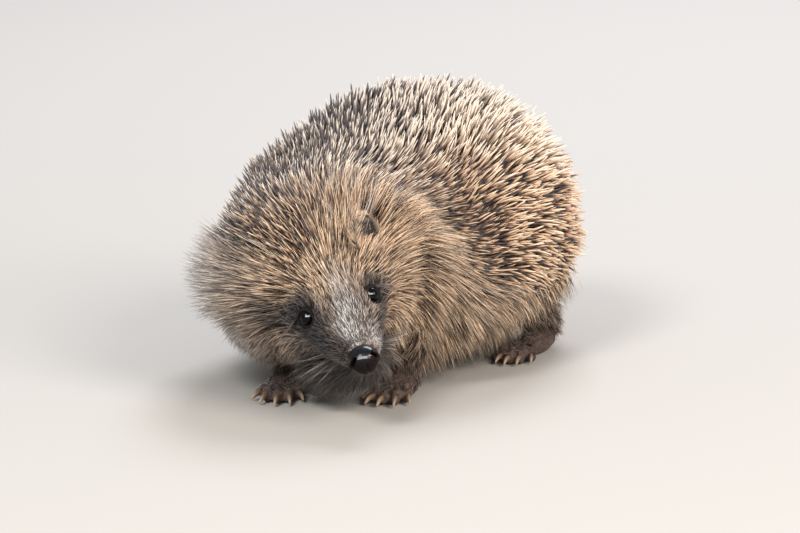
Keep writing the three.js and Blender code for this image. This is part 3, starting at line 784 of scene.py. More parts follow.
def spine_coat():
    """The spines of the back, from the rump to the brow."""
    seats = np.concatenate([body_seats(1.72, 0.15, 7.4), body_seats(1.36, 7.4, 11.8)])
    station, angle = seats.T
    past = past_spines(station, angle)
    brow = smooth(station, 8.2, 9.6)  # the edge is ragged there
    seats = seats[past < some(-7, 3, len(seats)) - brow * some(0, 26, len(seats))]
    station, angle = seats.T
    count = len(seats)
    back, normal = skin_axes(station, angle)
    root = skin_point(station, angle)
    lie = lying(back, normal, 0.1 + 0.3 * smooth(np.abs(angle), 0.6, 1.7))
    lie = swayed(lie, normal, 9 * drift(root, 9, 21) + chance.normal(0, 12, count))
    edge = smooth(-past_spines(station, angle), 0, 30)  # shorter and finer near the edge
    brow = smooth(station, 8.4, 10.4)
    flat = smooth(np.abs(angle), 0.5, 1.5)  # flatter on the flanks
    lean = 46 + 13 * flat + 8 * brow + 5 * drift(root, 7, 22) + chance.normal(0, 7, count)
    length = (20 - 1.5 * flat - 4 * brow) * (0.8 + 0.2 * edge) * some(0.8, 1.06, count)
    radius = np.interp(station, *SPINE_RADII) * ((0.8 + 0.2 * edge) * some(0.85, 1.12, count))
    coat = rest_of_coat(seats, root - normal * 1.2, normal, leaning(normal, lie, lean - 7),
                        leaning(normal, lie, lean + 7), length, radius)
    nape = smooth(station, 6.3, 7.3) * (1 - smooth(station, 9.2, 10)) * smooth(angle, 0.3, 0.8)
    # Higher on the back the pale points show longer: painted light from above.
    lit_crest = smooth(root[:, 2], 62, 82)
    coat["tone"] += 0.6 * lit_crest * smooth(angle, -0.35, 0.15)  # the band sits lower, for painted light from above
    coat["tone"] -= 0.4 * nape + 0.15 * smooth(-angle, 0.1, 0.7) * smooth(station, 2, 5)
    # The spines turn cool on the top and towards the head: painted cool shade, where the painted
    # warm light of the left flank fades.
    coat["warm"] *= (1 - 0.55 * smooth(root[:, 2], 60, 82)) * (1 - 0.3 * smooth(station, 7, 9))
    return coat


strands("spines", SPINE_KERATIN, spine_coat(), SPINE_PROFILE, 5)

# %% [markdown]
# ## The bristles of the brow
# At the brow the spines pass into thin bristles, from about 15 mm long down to 8 mm. They are
# banded like spines, and lie flat among the hair, so the forehead is streaked.

# %% Bristles
BRISTLE_PROFILE = [(0, 0.8), (0.4, 1), (0.82, 0.7)]


def bristle_coat():
    """The bristles between the spines and the hair of the forehead."""
    seats = body_seats(1.2, 8.0, 12.3)
    past = past_spines(*seats.T)
    reach = np.where(seats[:, 1] < 0, some(4, 30, len(seats)), some(-6, 12, len(seats)))
    seats = seats[(past < reach) & (past > some(-48, -26, len(seats)))]
    station, angle = seats.T
    count = len(seats)
    back, normal = skin_axes(station, angle)
    root = skin_point(station, angle)
    lie = lying(back, normal, np.full(count, 0.1))
    lie = swayed(lie, normal, 6 * drift(root, 8, 23) + chance.normal(0, 7, count))
    lean = 63 + 4 * drift(root, 6, 24) + chance.normal(0, 5, count)
    length = np.interp(station, [8, 10, 12], [15, 12, 8]) * some(0.7, 1.1, count)
    radius = np.interp(station, [8, 10, 12.2], [0.32, 0.26, 0.17]) * some(0.8, 1.2, count)
    return rest_of_coat(seats, root - normal * 0.8, normal, leaning(normal, lie, lean - 8),
                        leaning(normal, lie, lean + 8), length, radius)


strands("brow_bristles", SPINE_KERATIN, bristle_coat(), BRISTLE_PROFILE, 3)

# %% [markdown]
# ## Measures of the jaw, tail, legs and feet
# The lower jaw, the tail and the four legs are forms of their own. Each is a short list of rings or
# of points with radii. The feet stand flat on their soles, each with five toes spread like a fan.

# %% Measures of the small forms
JAW = [  # distance forward, half width, top, underside
    [-7, 10.5, -15, -26.5], [-1, 9.2, -14, -24.6], [5, 7.4, -13, -22],
    [11, 5.5, -12, -19.6], [15, 4, -11.5, -18], [17.6, 2.2, -12, -16.6],
]
COLLAR = [  # the same, for the muzzle's end
    [15, 9.2, -2.2, -15.0], [19, 7.9, -3.3, -14.6], [22.5, 6.6, -3.9, -14.5],
    [24.4, 6.0, -4.1, -14.5], [26.0, 5.5, -4.6, -14.1],
]
TAIL = [[0, 64, 34], [0, 78, 29], [1, 87, 22], [3, 92, 16]]
TAIL_RADII = np.array([5, 4.2, 3, 1.2]) - 0.5  # the hair makes up the rest
LIMBS = {  # the joints, the middle of the sole, and the way the foot points in degrees
    "fore_left": ([[27, -34, 34], [33, -40, 22], [34, -43, 12]], [35, -49], 10),
    "fore_right": ([[-14, -40, 34], [-14, -52, 22], [-5, -63, 12]], [-2, -69], 24),
    "hind_left": ([[30, 42, 36], [36, 38, 20], [38, 47, 10]], [39, 38], 8),
    "hind_right": ([[-30, 46, 36], [-36, 44, 20], [-37, 56, 10]], [-38, 47], -6),
}
LIMB_RADII = {"fore": [10, 7.6, 4.6], "hind": [13, 10, 5.4]}
FOOT = {"fore": [8, 6.6, 4.6], "hind": [14, 6.4, 4.6]}  # half length, half width, half height
TOES = {  # length and spread in degrees
    "fore": [[12, 34], [15.5, 16], [16.5, 0], [15.5, -15], [11, -34]],
    "hind": [[18, 20], [22.5, 9], [24, 0], [22.5, -9], [17, -20]],
}
TOE_RADII = [2.4, 2.0, 1.6]
TOE_PAD = (1.75, 2.1, 1.8)  # the radii of the ball under a toe's end
CLAW = {"fore": [5.4, 1.05], "hind": [4.8, 0.95]}  # length, radius
print("legs:", len(LIMBS), " longest toe:", max(length for length, _ in TOES["hind"]))

# %% [markdown]
# ## The rings of each form
# A tube of rings follows a path, an egg of rings makes the ball of a foot, and flat rings across
# the head's axis make the jaw and the muzzle's end. Skin and short fur both start from these rings.

# %% Rings of the forms
def spline(points, samples):
    """A smooth path through points, evenly sampled over their index."""
    points = np.array(points, float)
    return curve_through(points, np.linspace(0, len(points) - 1, samples))


def circle(count):
    """Angles evenly spread round a circle."""
    return 2 * math.pi * np.arange(count) / count


def tube(points, radii, samples=14, sides=16, depth=1.0):
    """Rings around a path whose radius runs through a list."""
    path = spline(points, samples)
    radius = np.interp(np.linspace(0, len(radii) - 1, samples), np.arange(len(radii)), radii)
    travel = unit(np.gradient(path, axis=0))
    u = unit(np.array([0, 0.1, 1.0]) - travel * travel[:, 1:2] * 0.1 - travel * travel[:, 2:3])
    v = np.cross(travel, u)
    phi = circle(sides)
    return path[:, None] + (u[:, None] * np.cos(phi)[None, :, None] * depth
                            + v[:, None] * np.sin(phi)[None, :, None]) * radius[:, None, None]


def ball(centre, radii, turn=0.0, sides=28, rings=20):
    """Rings of an egg shape, from its lower to its upper end."""
    phi = circle(sides)
    a = math.radians(turn)
    made = []
    for t in np.linspace(0.04, math.pi - 0.04, rings):
        x, y = math.sin(t) * np.cos(phi) * radii[0], math.sin(t) * np.sin(phi) * radii[1]
        turned = np.stack([x * math.cos(a) - y * math.sin(a), x * math.sin(a) + y * math.cos(a),
                           np.full(sides, -math.cos(t) * radii[2])], 1)
        made.append(turned + centre)
    return np.array(made)


def head_rings(table, samples, sides, inset=0.0):
    """Oval rings across the head's axis, drawn in by an inset for the hair that covers them."""
    phi = circle(sides)
    return np.array([in_head(forward, 0, (top + under) / 2)
                     + np.cos(phi)[:, None] * HEAD_AXES[1] * (half - 0.6 * inset)
                     + np.sin(phi)[:, None] * HEAD_AXES[2] * (top - under - inset) / 2
                     for forward, half, top, under in spline(table, samples)])


def along_floor(degrees):
    """A direction on the floor. 0 is straight ahead."""
    a = math.radians(degrees)
    return np.array([math.sin(a), -math.cos(a), 0.0])


JAW_RINGS = head_rings(JAW, 16, 24, 1.0)
COLLAR_RINGS = head_rings(COLLAR, 18, 36)  # they run over the root of the nose pad
TAIL_RINGS = tube(TAIL, TAIL_RADII)
print("rings: jaw", len(JAW_RINGS), " collar", len(COLLAR_RINGS), " tail", len(TAIL_RINGS))

# %% [markdown]
# ## Legs, feet and toes
# A leg is a tube that ends in the ankle, inside the ball of its foot. Each toe runs from the middle
# of the foot to the root of its claw, low over the floor, with a pad under its end.

# %% Legs and toes
def kind_of(name):
    """Whether a leg is a fore or a hind one."""
    return name.split("_")[0]


def outward(name):
    """1 on the left side and -1 on the right."""
    return 1 if name.endswith("left") else -1


def over_sole(name, way, stops):
    """Points over the middle of a sole, each some distance along a direction and at a height."""
    return [np.array([*LIMBS[name][1], height]) + way * distance for distance, height in stops]


def toes_of(name):
    """The length and the direction of each toe of a foot."""
    return [(length, along_floor(LIMBS[name][2] + spread * outward(name)))
            for length, spread in TOES[kind_of(name)]]


def leg_and_foot(name):
    """The rings of a leg and of the ball of its foot."""
    joints, sole, heading = LIMBS[name]
    kind = kind_of(name)
    half_length, half_width, half_height = FOOT[kind]
    middle = np.array([*sole, half_height - 0.9])
    ankle = middle - along_floor(heading) * 0.5 * half_length
    foot = ball(middle, (half_width - 0.4, half_length - 0.3, half_height), heading)
    return tube([*joints, ankle], [*LIMB_RADII[kind], half_height]), foot


def toe_paths(name):
    """The middle line of each toe of a foot."""
    half_length = FOOT[kind_of(name)][0]
    return [over_sole(name, way, ((half_length * 0.3, 3.4), ((length + half_length) * 0.55, 3.5),
                                  (length, 2.1))) for length, way in toes_of(name)]


def toe_tube(path):
    """The rings of one toe."""
    return tube(path, TOE_RADII, samples=10, sides=12)


def toe_pads(name):
    """The rings of the pad under the end of each toe."""
    return [ball(over_sole(name, way, [(length - 0.9, 1.7)])[0], TOE_PAD, LIMBS[name][2])
            for length, way in toes_of(name)]


print("toes of a fore foot:", len(toe_paths("fore_left")))

# %% [markdown]
# ## Welding the skin
# One skin replaces the solids of the trunk, head, jaw, legs and tail, so that no seam shows. Each
# form is made as a closed surface, and a voxel remesh welds them as clay would be worked together:
# it only keeps what lies outside. A few passes of smoothing take away the voxels' steps.

# %% Welded skin
VOXEL = 0.8
SOCKET_RADIUS = 4.0  # the skin swells a little round each eye


def skin_forms():
    """The rings of every form that the skin is welded from."""
    grid = np.meshgrid(np.linspace(0, LAST, 130), math.pi - circle(120), indexing="ij")
    forms = [skin_point(*grid), JAW_RINGS, COLLAR_RINGS, TAIL_RINGS]
    for name in LIMBS:
        forms += leg_and_foot(name)
        for path, pad in zip(toe_paths(name), toe_pads(name)):
            forms += [toe_tube(path), pad]
    for sign in (1, -1):
        forms.append(ball(in_head(EYE[0], EYE[1] * sign, EYE[2]), (SOCKET_RADIUS,) * 3))
    return forms


def welded(forms, voxel):
    """The forms as one mesh, welded by a voxel remesh and smoothed."""
    mesh = grid_mesh("clay", forms)
    whole = bmesh.new()
    whole.from_mesh(mesh)
    bmesh.ops.recalc_face_normals(whole, faces=whole.faces)
    whole.to_mesh(mesh)
    whole.free()
    clay = bpy.data.objects.new("clay", mesh)
    bpy.context.collection.objects.link(clay)
    remesh = clay.modifiers.new("weld", "REMESH")
    remesh.mode = "VOXEL"
    remesh.voxel_size = voxel / 1000
    rub = clay.modifiers.new("rub", "SMOOTH")
    rub.factor = 0.5
    rub.iterations = 5
    shaped = clay.evaluated_get(bpy.context.evaluated_depsgraph_get())
    result = bpy.data.meshes.new_from_object(shaped)
    bpy.data.objects.remove(clay)
    return result


skin_mesh = welded(skin_forms(), VOXEL)
print("skin faces:", len(skin_mesh.polygons))

# %% [markdown]
# ## Working the clay
# The clay is then worked: the sockets are opened for the eyes, a crease is drawn between the upper
# lip and the jaw, and others between the toes. Each vertex near one of these is moved by a smooth
# function of its distance, as a thumb or a wire tool would press it.

# %% Sockets and creases
GAZE = (0.74, 0.59, 0.32)  # of the left eye, in the head's frame
EYE_OPENING = (4.9, 4.6)  # half its length and half its width, at the distance of one radius
SOCKET_FLOOR = 2.2  # how far from the middle of the eye the socket's floor lies
MOUTH = [[22.5, 0, -14.6], [19, 4.6, -14.2], [13, 7.6, -13.6], [6, 9.6, -13.2], [0, 11, -12.4]]
LIP_CREASE, TOE_CREASE = 0.9, 1.5  # their depths


def eye_axes(sign):
    """An eye's centre, its gaze, and the axes along and across its opening."""
    mirror = np.array([1, sign, 1.0])
    centre = in_head(*(np.array(EYE) * mirror))
    gaze = unit((np.array(GAZE) * mirror) @ HEAD_AXES)
    hint = np.array([0.7, 0, -0.3]) @ HEAD_AXES
    u = unit(hint - gaze * (hint @ gaze))
    return centre, gaze, u, np.cross(gaze, u)


def polyline_distance(points, path):
    """The distance from points to a path, and the place on the path."""
    best = np.full(len(points), 1e9)
    where = np.zeros(len(points))
    for k in range(len(path) - 1):
        way = path[k + 1] - path[k]
        t = np.clip((points - path[k]) @ way / (way @ way), 0, 1)
        distance = np.linalg.norm(points - path[k] - t[:, None] * way, axis=1)
        closer = distance < best
        best = np.where(closer, distance, best)
        where = np.where(closer, k + t, where)
    return best, where


def socket_opened(points, sign):
    """Presses the skin in where an eye looks out."""
    centre, gaze, u, v = eye_axes(sign)
    away = points - centre
    distance = np.linalg.norm(away, axis=1)
    ahead = np.maximum(away @ gaze, 1e-6)
    aside = np.hypot(away @ u / EYE_OPENING[0], away @ v / EYE_OPENING[1]) * EYE_RADIUS / ahead
    opened = (1 - smooth(aside, 0.85, 1.15)) * ((distance < 7) & (away @ gaze > 0))
    target = centre + away / distance[:, None] * SOCKET_FLOOR
    return points + (target - points) * opened[:, None]


def lip_creased(points, sign):
    """Draws the crease of the mouth on one side."""
    path = spline([[f, s * sign, up] for f, s, up in MOUTH], 16)
    near, _ = polyline_distance(head_coordinates(points), path)
    press = LIP_CREASE * (1 - smooth(near, 0.2, 1.3))
    return points + unit(in_head(6, 0, -13.5) - points) * press[:, None]


def toes_creased(points, name):
    """Parts the toes of a foot with a crease between each two."""
    _, sole, heading = LIMBS[name]
    toes = TOES[kind_of(name)]
    for (reach, spread), (next_reach, next_spread) in zip(toes[:-1], toes[1:]):
        way = along_floor(heading + (spread + next_spread) / 2 * outward(name))
        web = [np.array([*sole, height]) + way * share * min(reach, next_reach)
               for share, height in ((0.5, 6.6), (0.75, 5), (1.0, 3))]
        near, _ = polyline_distance(points, np.array(web))
        points[:, 2] -= TOE_CREASE * (1 - smooth(near, 0.3, 1.7))
    return points


def worked(mesh):
    """Works the welded skin, keeps it on the floor, and returns its points in millimetres."""
    points = np.empty(len(mesh.vertices) * 3, np.float32)
    mesh.vertices.foreach_get("co", points)
    points = points.reshape(-1, 3).astype(float) * 1000 - SHIFT
    for sign in (1, -1):
        points = lip_creased(socket_opened(points, sign), sign)
    for name in LIMBS:
        points = toes_creased(points, name)
    points[:, 2] = np.maximum(points[:, 2], 0.02 - SHIFT[2])
    mesh.vertices.foreach_set("co", ((points + SHIFT) / 1000).astype(np.float32).ravel())
    mesh.update()
    return points


skin_points = worked(skin_mesh)
print("worked points:", len(skin_points))

# %% [markdown]
# ## The finish of the skin
# Little of the skin is seen: it shows dark between the hairs, and bare, grey-brown and finely
# wrinkled on the feet. It carries the same markings as the fur, in deeper shades. Bare skin is dry,
# so it has hardly any gloss, and its creases are about a millimetre apart.

# %% Skin
SKIN_TINTS = ("#4a3c31", "#5d4632", "#57504a", "#171414")  # unmarked, warm, pale, dark


def marked(tree, shares, tints):
    """The unmarked tint with the warm, pale and dark ones over it, each by its marking's share."""
    shade = colour(tints[0])
    for share, tint in zip(shares, tints[1:]):
        shade = add(tree, "ShaderNodeMix", {"Factor": share, "A": shade, "B": colour(tint)}, BLEND,
                    output="Result")
    return shade


def skin_finish():
    """Living skin with a dark undercoat, dry and creased where it is bare."""
    made, tree, shader, (bare, *shares) = material(
        "skin_with_undercoat", "bare", "warm", "pale", "dark")
    creases = add(tree, "ShaderNodeTexVoronoi", {"Scale": per_mm(1.1)},
                  {"feature": "DISTANCE_TO_EDGE"})
    # Bare skin is darker along its creases, which is painted shade in them.
    bare_with_crease_shade = add(tree, "ShaderNodeValToRGB", {"Fac": creases},
                     stops=[(0.0, "#3f322e"), (0.3, "#84706a")])
    under = marked(tree, shares, SKIN_TINTS)
    shade = add(tree, "ShaderNodeMix", {"Factor": bare, "A": under, "B": bare_with_crease_shade}, BLEND,
                output="Result")
    bump = add(tree, "ShaderNodeBump", {"Strength": 0.8, "Distance": 0.0003, "Height": creases})
    feed(shader, {"Base Color": shade, "Roughness": 0.75, "Specular IOR Level": 0.25,
                  "Normal": bump})
    return made


values = markings(skin_points)
for sign in (1, -1):  # the skin is dark all round the lids
    from_eye = np.linalg.norm(skin_points - eye_axes(sign)[0], axis=1)
    values["dark"] = np.maximum(values["dark"], 1 - smooth(from_eye, 4.4, 6))
values["bare"] = 1 - smooth(skin_points[:, 2], 3, 13)  # the feet
keep_values(skin_mesh, values)
skin = finished("skin", skin_mesh, skin_finish())
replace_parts(skin, "rump", "torso", "neck", "head", "jaw", "tail", "fore_leg_left",
            "fore_leg_right", "hind_leg_left", "hind_leg_right")
print("skin replaces ten solids")

# %% [markdown]
# ## The finish of the fur
# Hedgehog hair is coarse and dry. Each hair is dark at its root, partly its own colour and partly
# painted shade for the depth of the coat, coloured by the markings over its length and paler at its
# tip, which gives the grizzled look. Tone varies from hair to hair: more are deep than light, and
# about a third lie between.

# %% Fur
HAIR_LIGHT = ("#c6b1a1", "#fbdab8", "#fdfaf7", "#605a5a")  # each unmarked, warm, pale, dark
HAIR_DEEP = ("#332925", "#352116", "#8b817c", "#0d0b0b")
HAIR_ROOT = ("#1a1412", "#20160f", "#39322f", "#070606")
HAIR_TIP = ("#dccbbe", "#fce9d2", "#fefcfa", "#857f7e")


def fur_finish():
    """Coarse, dry keratin hair: a soft gloss along each hair and no sheen over the coat."""
    made, tree, shader, (along, tone, *shares) = material(
        "coarse_dry_hair", "along", "tone", "warm", "pale", "dark")
    light, deep, root, tip = (marked(tree, shares, tints)
                              for tints in (HAIR_LIGHT, HAIR_DEEP, HAIR_ROOT, HAIR_TIP))
    lightness = add(tree, "ShaderNodeValToRGB", {"Fac": tone},
                    stops=[(0.38, "#000000"), (0.72, "#ffffff")])
    # Dark near the root: partly the hair's own colour, partly painted shade deep in the coat.
    past_root = add(tree, "ShaderNodeValToRGB", {"Fac": along},
                    stops=[(0.12, "#000000"), (0.65, "#ffffff")])
    near_tip = add(tree, "ShaderNodeValToRGB", {"Fac": along},
                   stops=[(0.6, "#000000"), (0.97, "#b0b0b0")])
    shade = add(tree, "ShaderNodeMix", {"Factor": lightness, "A": deep, "B": light}, BLEND,
                output="Result")
    shade = add(tree, "ShaderNodeMix", {"Factor": past_root, "A": root, "B": shade}, BLEND,
                output="Result")
    shade = add(tree, "ShaderNodeMix", {"Factor": near_tip, "A": shade, "B": tip}, BLEND,
                output="Result")
    feed(shader, {"Base Color": shade, "Roughness": 0.5, "IOR": 1.5})
    return made


HAIR = fur_finish()
print("finish:", HAIR.name)

# %% [markdown]
# ## Tufts of fur
# Hairs grow in small loose tufts. Neighbouring hairs lie nearly alike, so their lie comes from a
# smooth random field, and each hair departs a little from it. Its end bends down by its own weight.
# Real hair is finer than a tenth of a millimetre, and is drawn as thick as it needs to be to show.

# %% Loose tufts
def repeated(values, count):
    """Each row as many times as a tuft has hairs."""
    return np.repeat(values, count, axis=0)


def loose_tufts(root, normal, lie, length, lean, per_tuft, spread, thickness, sag, unrest=1.0):
    """The strands of tufts whose roots lie within the spread, each a little apart from its tuft."""
    n = len(root) * per_tuft
    root, normal, lie = (repeated(values, per_tuft) for values in (root, normal, lie))
    offset = (np.cross(normal, lie) * (some(-1, 1, n) * spread)[:, None]
              + lie * (some(-1, 1, n) * spread)[:, None])
    root = root + offset
    lie = swayed(lie, normal, 7 * unrest * drift(root, 5, 31) + 5 * unrest * chance.normal(0, 1, n))
    lean = repeated(lean, per_tuft) + unrest * (4 * drift(root, 4, 32) + chance.normal(0, 5, n))
    length = repeated(length, per_tuft) * some(0.62, 1.08, n)
    start, end = leaning(normal, lie, lean - 9), leaning(normal, lie, lean + 11)
    end = unit(end + DOWN * repeated(sag, per_tuft)[:, None]
               + 0.05 * chance.normal(0, 1, (n, 3)))
    root = root - normal * HAIR_ROOT_DEPTH
    length = above_floor(root, start, end, length)
    return root, normal, start, end, length, thickness * some(0.75, 1.2, n)


def beside_each_other(coat, per_tuft, tufts):
    """Sets the patches of one tuft's hairs side by side on the unwrap."""
    order = np.tile(np.arange(per_tuft) - (per_tuft - 1) / 2, tufts)
    coat["uv"][:, 0] += order * PATCH / per_tuft
    return coat


print("a tuft of 2 is", repeated(np.arange(2), 2))

# %% [markdown]
# ## How the body's fur lies
# Long hair covers the cheeks, neck, chest, flanks below the spines and the belly, and gets shorter
# and finer towards the eyes and nose. On the chest and the lower cheeks it hangs almost to the
# floor. The left cheek's hair stands out from the head, and so does the fringe on the right.

# %% Fur of the body
FUR_LENGTH = [14, 20, 24, 25, 24, 23, 23, 22, 21, 19, 16, 13, 9, 6, 4.6, 3.6, 2.4]  # by station
FUR_LEAN = [58, 60, 64, 64, 64, 64, 62, 60, 60, 60, 61, 64, 68, 69, 68, 66, 62]


def around_the_eyes(root, normal, lie):
    """Parts the hair round each eye, as water parts round a post."""
    for sign in (1, -1):
        away = root - in_head(EYE[0], EYE[1] * sign, EYE[2])
        share = np.clip(4.8 / np.linalg.norm(away, axis=1, keepdims=True), 0, 1) ** 2
        out = unit(away - normal * np.sum(away * normal, 1, keepdims=True))
        lie = lie * (1 + share) - 2 * share * np.sum(lie * out, 1, keepdims=True) * out
    return unit(lie + 1e-4)


def tufts(seats, per_tuft, spread, thickness, unrest=1.0):
    """Tufts at seats on the body."""
    station, angle = seats.T
    back, normal = skin_axes(station, angle)
    root = skin_point(station, angle)
    side = np.abs(angle)
    skirt = smooth(side, 1.4, 2.0) * (1 - smooth(station, 12, 14))
    belly = smooth(side, 2.35, 2.9)
    cheek = smooth(station, 7.5, 9.5)
    rear = 1 - smooth(station, 3.5, 6)
    left_cheek = smooth(angle, 0.5, 1.1) * smooth(station, 8.2, 9.4)
    left_cheek *= 1 - smooth(station, 11.5, 13)
    fringe = smooth(-angle, 0.8, 1.4) * smooth(station, 6.5, 8) * (1 - smooth(station, 10.5, 12))
    jowl = fringe * smooth(-angle, 1.45, 1.9)
    fringe *= 1 - smooth(-angle, 1.3, 1.75)
    length = between(FUR_LENGTH, station) * (1 - 0.35 * belly)
    length *= 1 + 0.25 * left_cheek + 0.28 * fringe - 0.25 * jowl
    droop = 0.25 + (0.75 - 0.35 * cheek + 0.5 * rear) * skirt * (1 - 0.6 * fringe)
    lie = around_the_eyes(root, normal, lying(back, normal, droop))
    lean = between(FUR_LEAN, station) - 8 * left_cheek - 10 * fringe
    made = loose_tufts(root, normal, lie, length, lean, per_tuft, spread, thickness,
                       0.1 + (0.75 - 0.4 * cheek) * skirt * (1 - 0.45 * belly), unrest)
    coat = rest_of_coat(repeated(seats, per_tuft), *made, PATCH / per_tuft)
    coat["radius"] *= 0.75 + 0.6 * coat["tone"]  # the pale hairs are the coarser ones
    return beside_each_other(coat, per_tuft, len(seats))


print("longest fur in mm:", max(FUR_LENGTH))

# %% [markdown]
# ## Keeping the eyes and the ear clear
# Hair that would cross an eye ends before it, and so does hair before the upper part of the ear's
# cup. At the ear the border is ragged, lower down for dark hairs, so the cup seems to stand in the
# fur and not in a hole cut through it.

# %% Clear eyes and ear
def shortened(coat, reached):
    """Ends each hair before the first place it may not cross, and drops those that start there."""
    keep = np.ones(len(coat["root"]), bool)
    share_left = np.ones(len(keep))
    for share in np.linspace(0, 1, 9):
        reach = share * (1 - share / 2) * coat["start"] + share * share / 2 * coat["end"]
        there = reached(coat["root"] + reach * coat["length"][:, None])
        keep &= ~(there & (share < 0.3))
        share_left = np.where(there & (share_left == 1), max(share - 0.12, 0.1), share_left)
    coat["length"] = coat["length"] * share_left
    return {key: value[keep] for key, value in coat.items()}


def over_an_eye(points):
    """True in a round column before each eye, as wide as its lids."""
    found = np.zeros(len(points), bool)
    for sign in (1, -1):
        centre, gaze, _, _ = eye_axes(sign)
        ahead = (points - centre) @ gaze
        aside = np.linalg.norm(points - centre - ahead[:, None] * gaze, axis=1)
        found |= (ahead > 0.8) & (ahead < 9) & (aside < 3.6)
    return found


def over_the_ear(points, tone):
    """True in the upper part of the left ear's cup and just before it, lower for dark hairs."""
    base, axis, u, v = ear_axes(1)
    away = points - base
    height, across = away @ axis, away @ v
    half, depth = (np.interp(height, [row[0] for row in EAR], [row[k] for row in EAR])
                   for k in (1, 2))
    before = away @ u + ear_bend(height)
    return ((height > 8.5 + 5 * tone) & (height < 20) & (across > -3.5 + 3 * tone)
            & (across < half + 0.3) & (before > -depth - 0.8) & (before < 3.5))


def clear(coat):
    """The coat with the eyes and the left ear free."""
    coat = shortened(coat, over_an_eye)
    return shortened(coat, lambda points: over_the_ear(points, coat["tone"]))


print("an eye is covered at its middle:", over_an_eye(eye_axes(1)[0][None] + eye_axes(1)[1]))

# %% [markdown]
# ## Fur on the body, head and face
# The tufts are set in three goes, from coarse to fine: seven long hairs to a tuft on the body, six
# on the head, and four short ones on the face, where the tufts stand less than a millimetre apart.

# %% Body, head and face
HAIR_PROFILE = [(0, 0.8), (0.35, 1), (0.75, 0.7)]
SHORT_PROFILE = [(0, 0.9), (0.45, 0.9)]  # short hairs need one ring less

seats = body_seats(2.5, 0.1, 9.2)
seats = seats[past_spines(*seats.T) > -8]
strands("long_fur", HAIR, tufts(seats, 7, 1.3, 0.15), HAIR_PROFILE, 3)

seats = body_seats(1.4, 8.7, 12.9)
seats = seats[past_spines(*seats.T) > np.where(seats[:, 1] > 0, -26, some(-14, -2, len(seats)))]
strands("head_fur", HAIR, clear(tufts(seats, 6, 0.75, 0.135, 1.2)), HAIR_PROFILE, 3)

seats = np.concatenate([body_seats(0.9, 12.5, 14.6), body_seats(0.75, 14.6, LAST - 0.02)])
strands("face_fur", HAIR, clear(tufts(seats, 4, 0.5, 0.12, 1.6)), SHORT_PROFILE, 3)

# %% [markdown]
# ## Seats on the small forms
# The legs, tail and jaw were made as rings too, so their fur grows from those same rings. Seats are
# drawn at random, as many on each face as its area asks for. Each form gets its own strip of the
# unwrap.

# %% Seats on a form
def form_seats(rings, spacing, strip, strips, closed=True):
    """Seats over a form's rings: root, normal, way along, place on the unwrap, share along."""
    n, sides, _ = rings.shape
    cells = np.arange(sides if closed else sides - 1)
    after = (cells + 1) % sides
    a, b = rings[:-1][:, cells], rings[:-1][:, after]
    c, d = rings[1:][:, cells], rings[1:][:, after]
    area = np.linalg.norm(np.cross(b - a, c - a), axis=2)
    count = int(area.sum() / spacing ** 2)
    cell = chance.choice(area.size, count, p=(area / area.sum()).ravel())
    j, k = np.divmod(cell, len(cells))
    t, u = some(0, 1, count)[:, None], some(0, 1, count)[:, None]
    a, b, c, d = a[j, k], b[j, k], c[j, k], d[j, k]
    root = (a * (1 - u) + b * u) * (1 - t) + (c * (1 - u) + d * u) * t
    way = unit((c - a) * (1 - u) + (d - b) * u)
    normal = unit(np.cross(way, (b - a) * (1 - t) + (d - c) * t))
    normal *= np.sign(np.sum(normal * (root - rings.mean(axis=1)[j]), 1))[:, None]
    share = (j + t[:, 0]) / (n - 1)
    unwrap = np.stack([(strip + (k + u[:, 0]) / len(cells)) / strips, share], 1)
    return root, normal, way, unwrap, share


def kept(seats, chosen):
    """The chosen ones of some seats."""
    return tuple(values[chosen] for values in seats)


def form_coat(parts, per_tuft, thickness, unrest=1.0):
    """One coat from several forms. Each is (seats, lengths, lean, sag, direction or None)."""
    coats = []
    for (root, normal, way, unwrap, _), length, lean, sag, direction in parts:
        lie = way if direction is None else np.tile(direction, (len(root), 1))
        lie = unit(lie - normal * np.sum(lie * normal, 1, keepdims=True) + 1e-6)
        full = np.ones(len(root))
        made = loose_tufts(root, normal, lie, full * length, full * lean, per_tuft, 0.5, thickness,
                           full * sag, unrest)
        coat = rest_of_coat(repeated(np.zeros((len(root), 2)), per_tuft), *made, PATCH / per_tuft)
        coat["uv"] = 0.01 + 0.98 * repeated(unwrap, per_tuft)
        coats.append(beside_each_other(coat, per_tuft, len(root)))
    return {key: np.concatenate([coat[key] for coat in coats]) for key in coats[0]}


print("seats on the tail's rings:", TAIL_RINGS.shape[:2])

# %% [markdown]
# ## Fur on the legs, feet and tail
# This fur is short and lies towards the toes and the tip of the tail. It is denser on the fore legs
# than on the hind ones, because they show between the cheek and the foot, and it thins out over
# the toes. Soles stay bare.

# %% Legs, feet and tail
STRIPS = 29  # of the unwrap: 4 legs, 4 feet, the tail and 20 toes
LEG_SPACING = {"fore": 1.3, "hind": 1.9}
LEG_HAIR = ([0, 0.5, 0.8, 1], [11, 8.5, 5.5, 3])  # shares of the leg's length, hair lengths

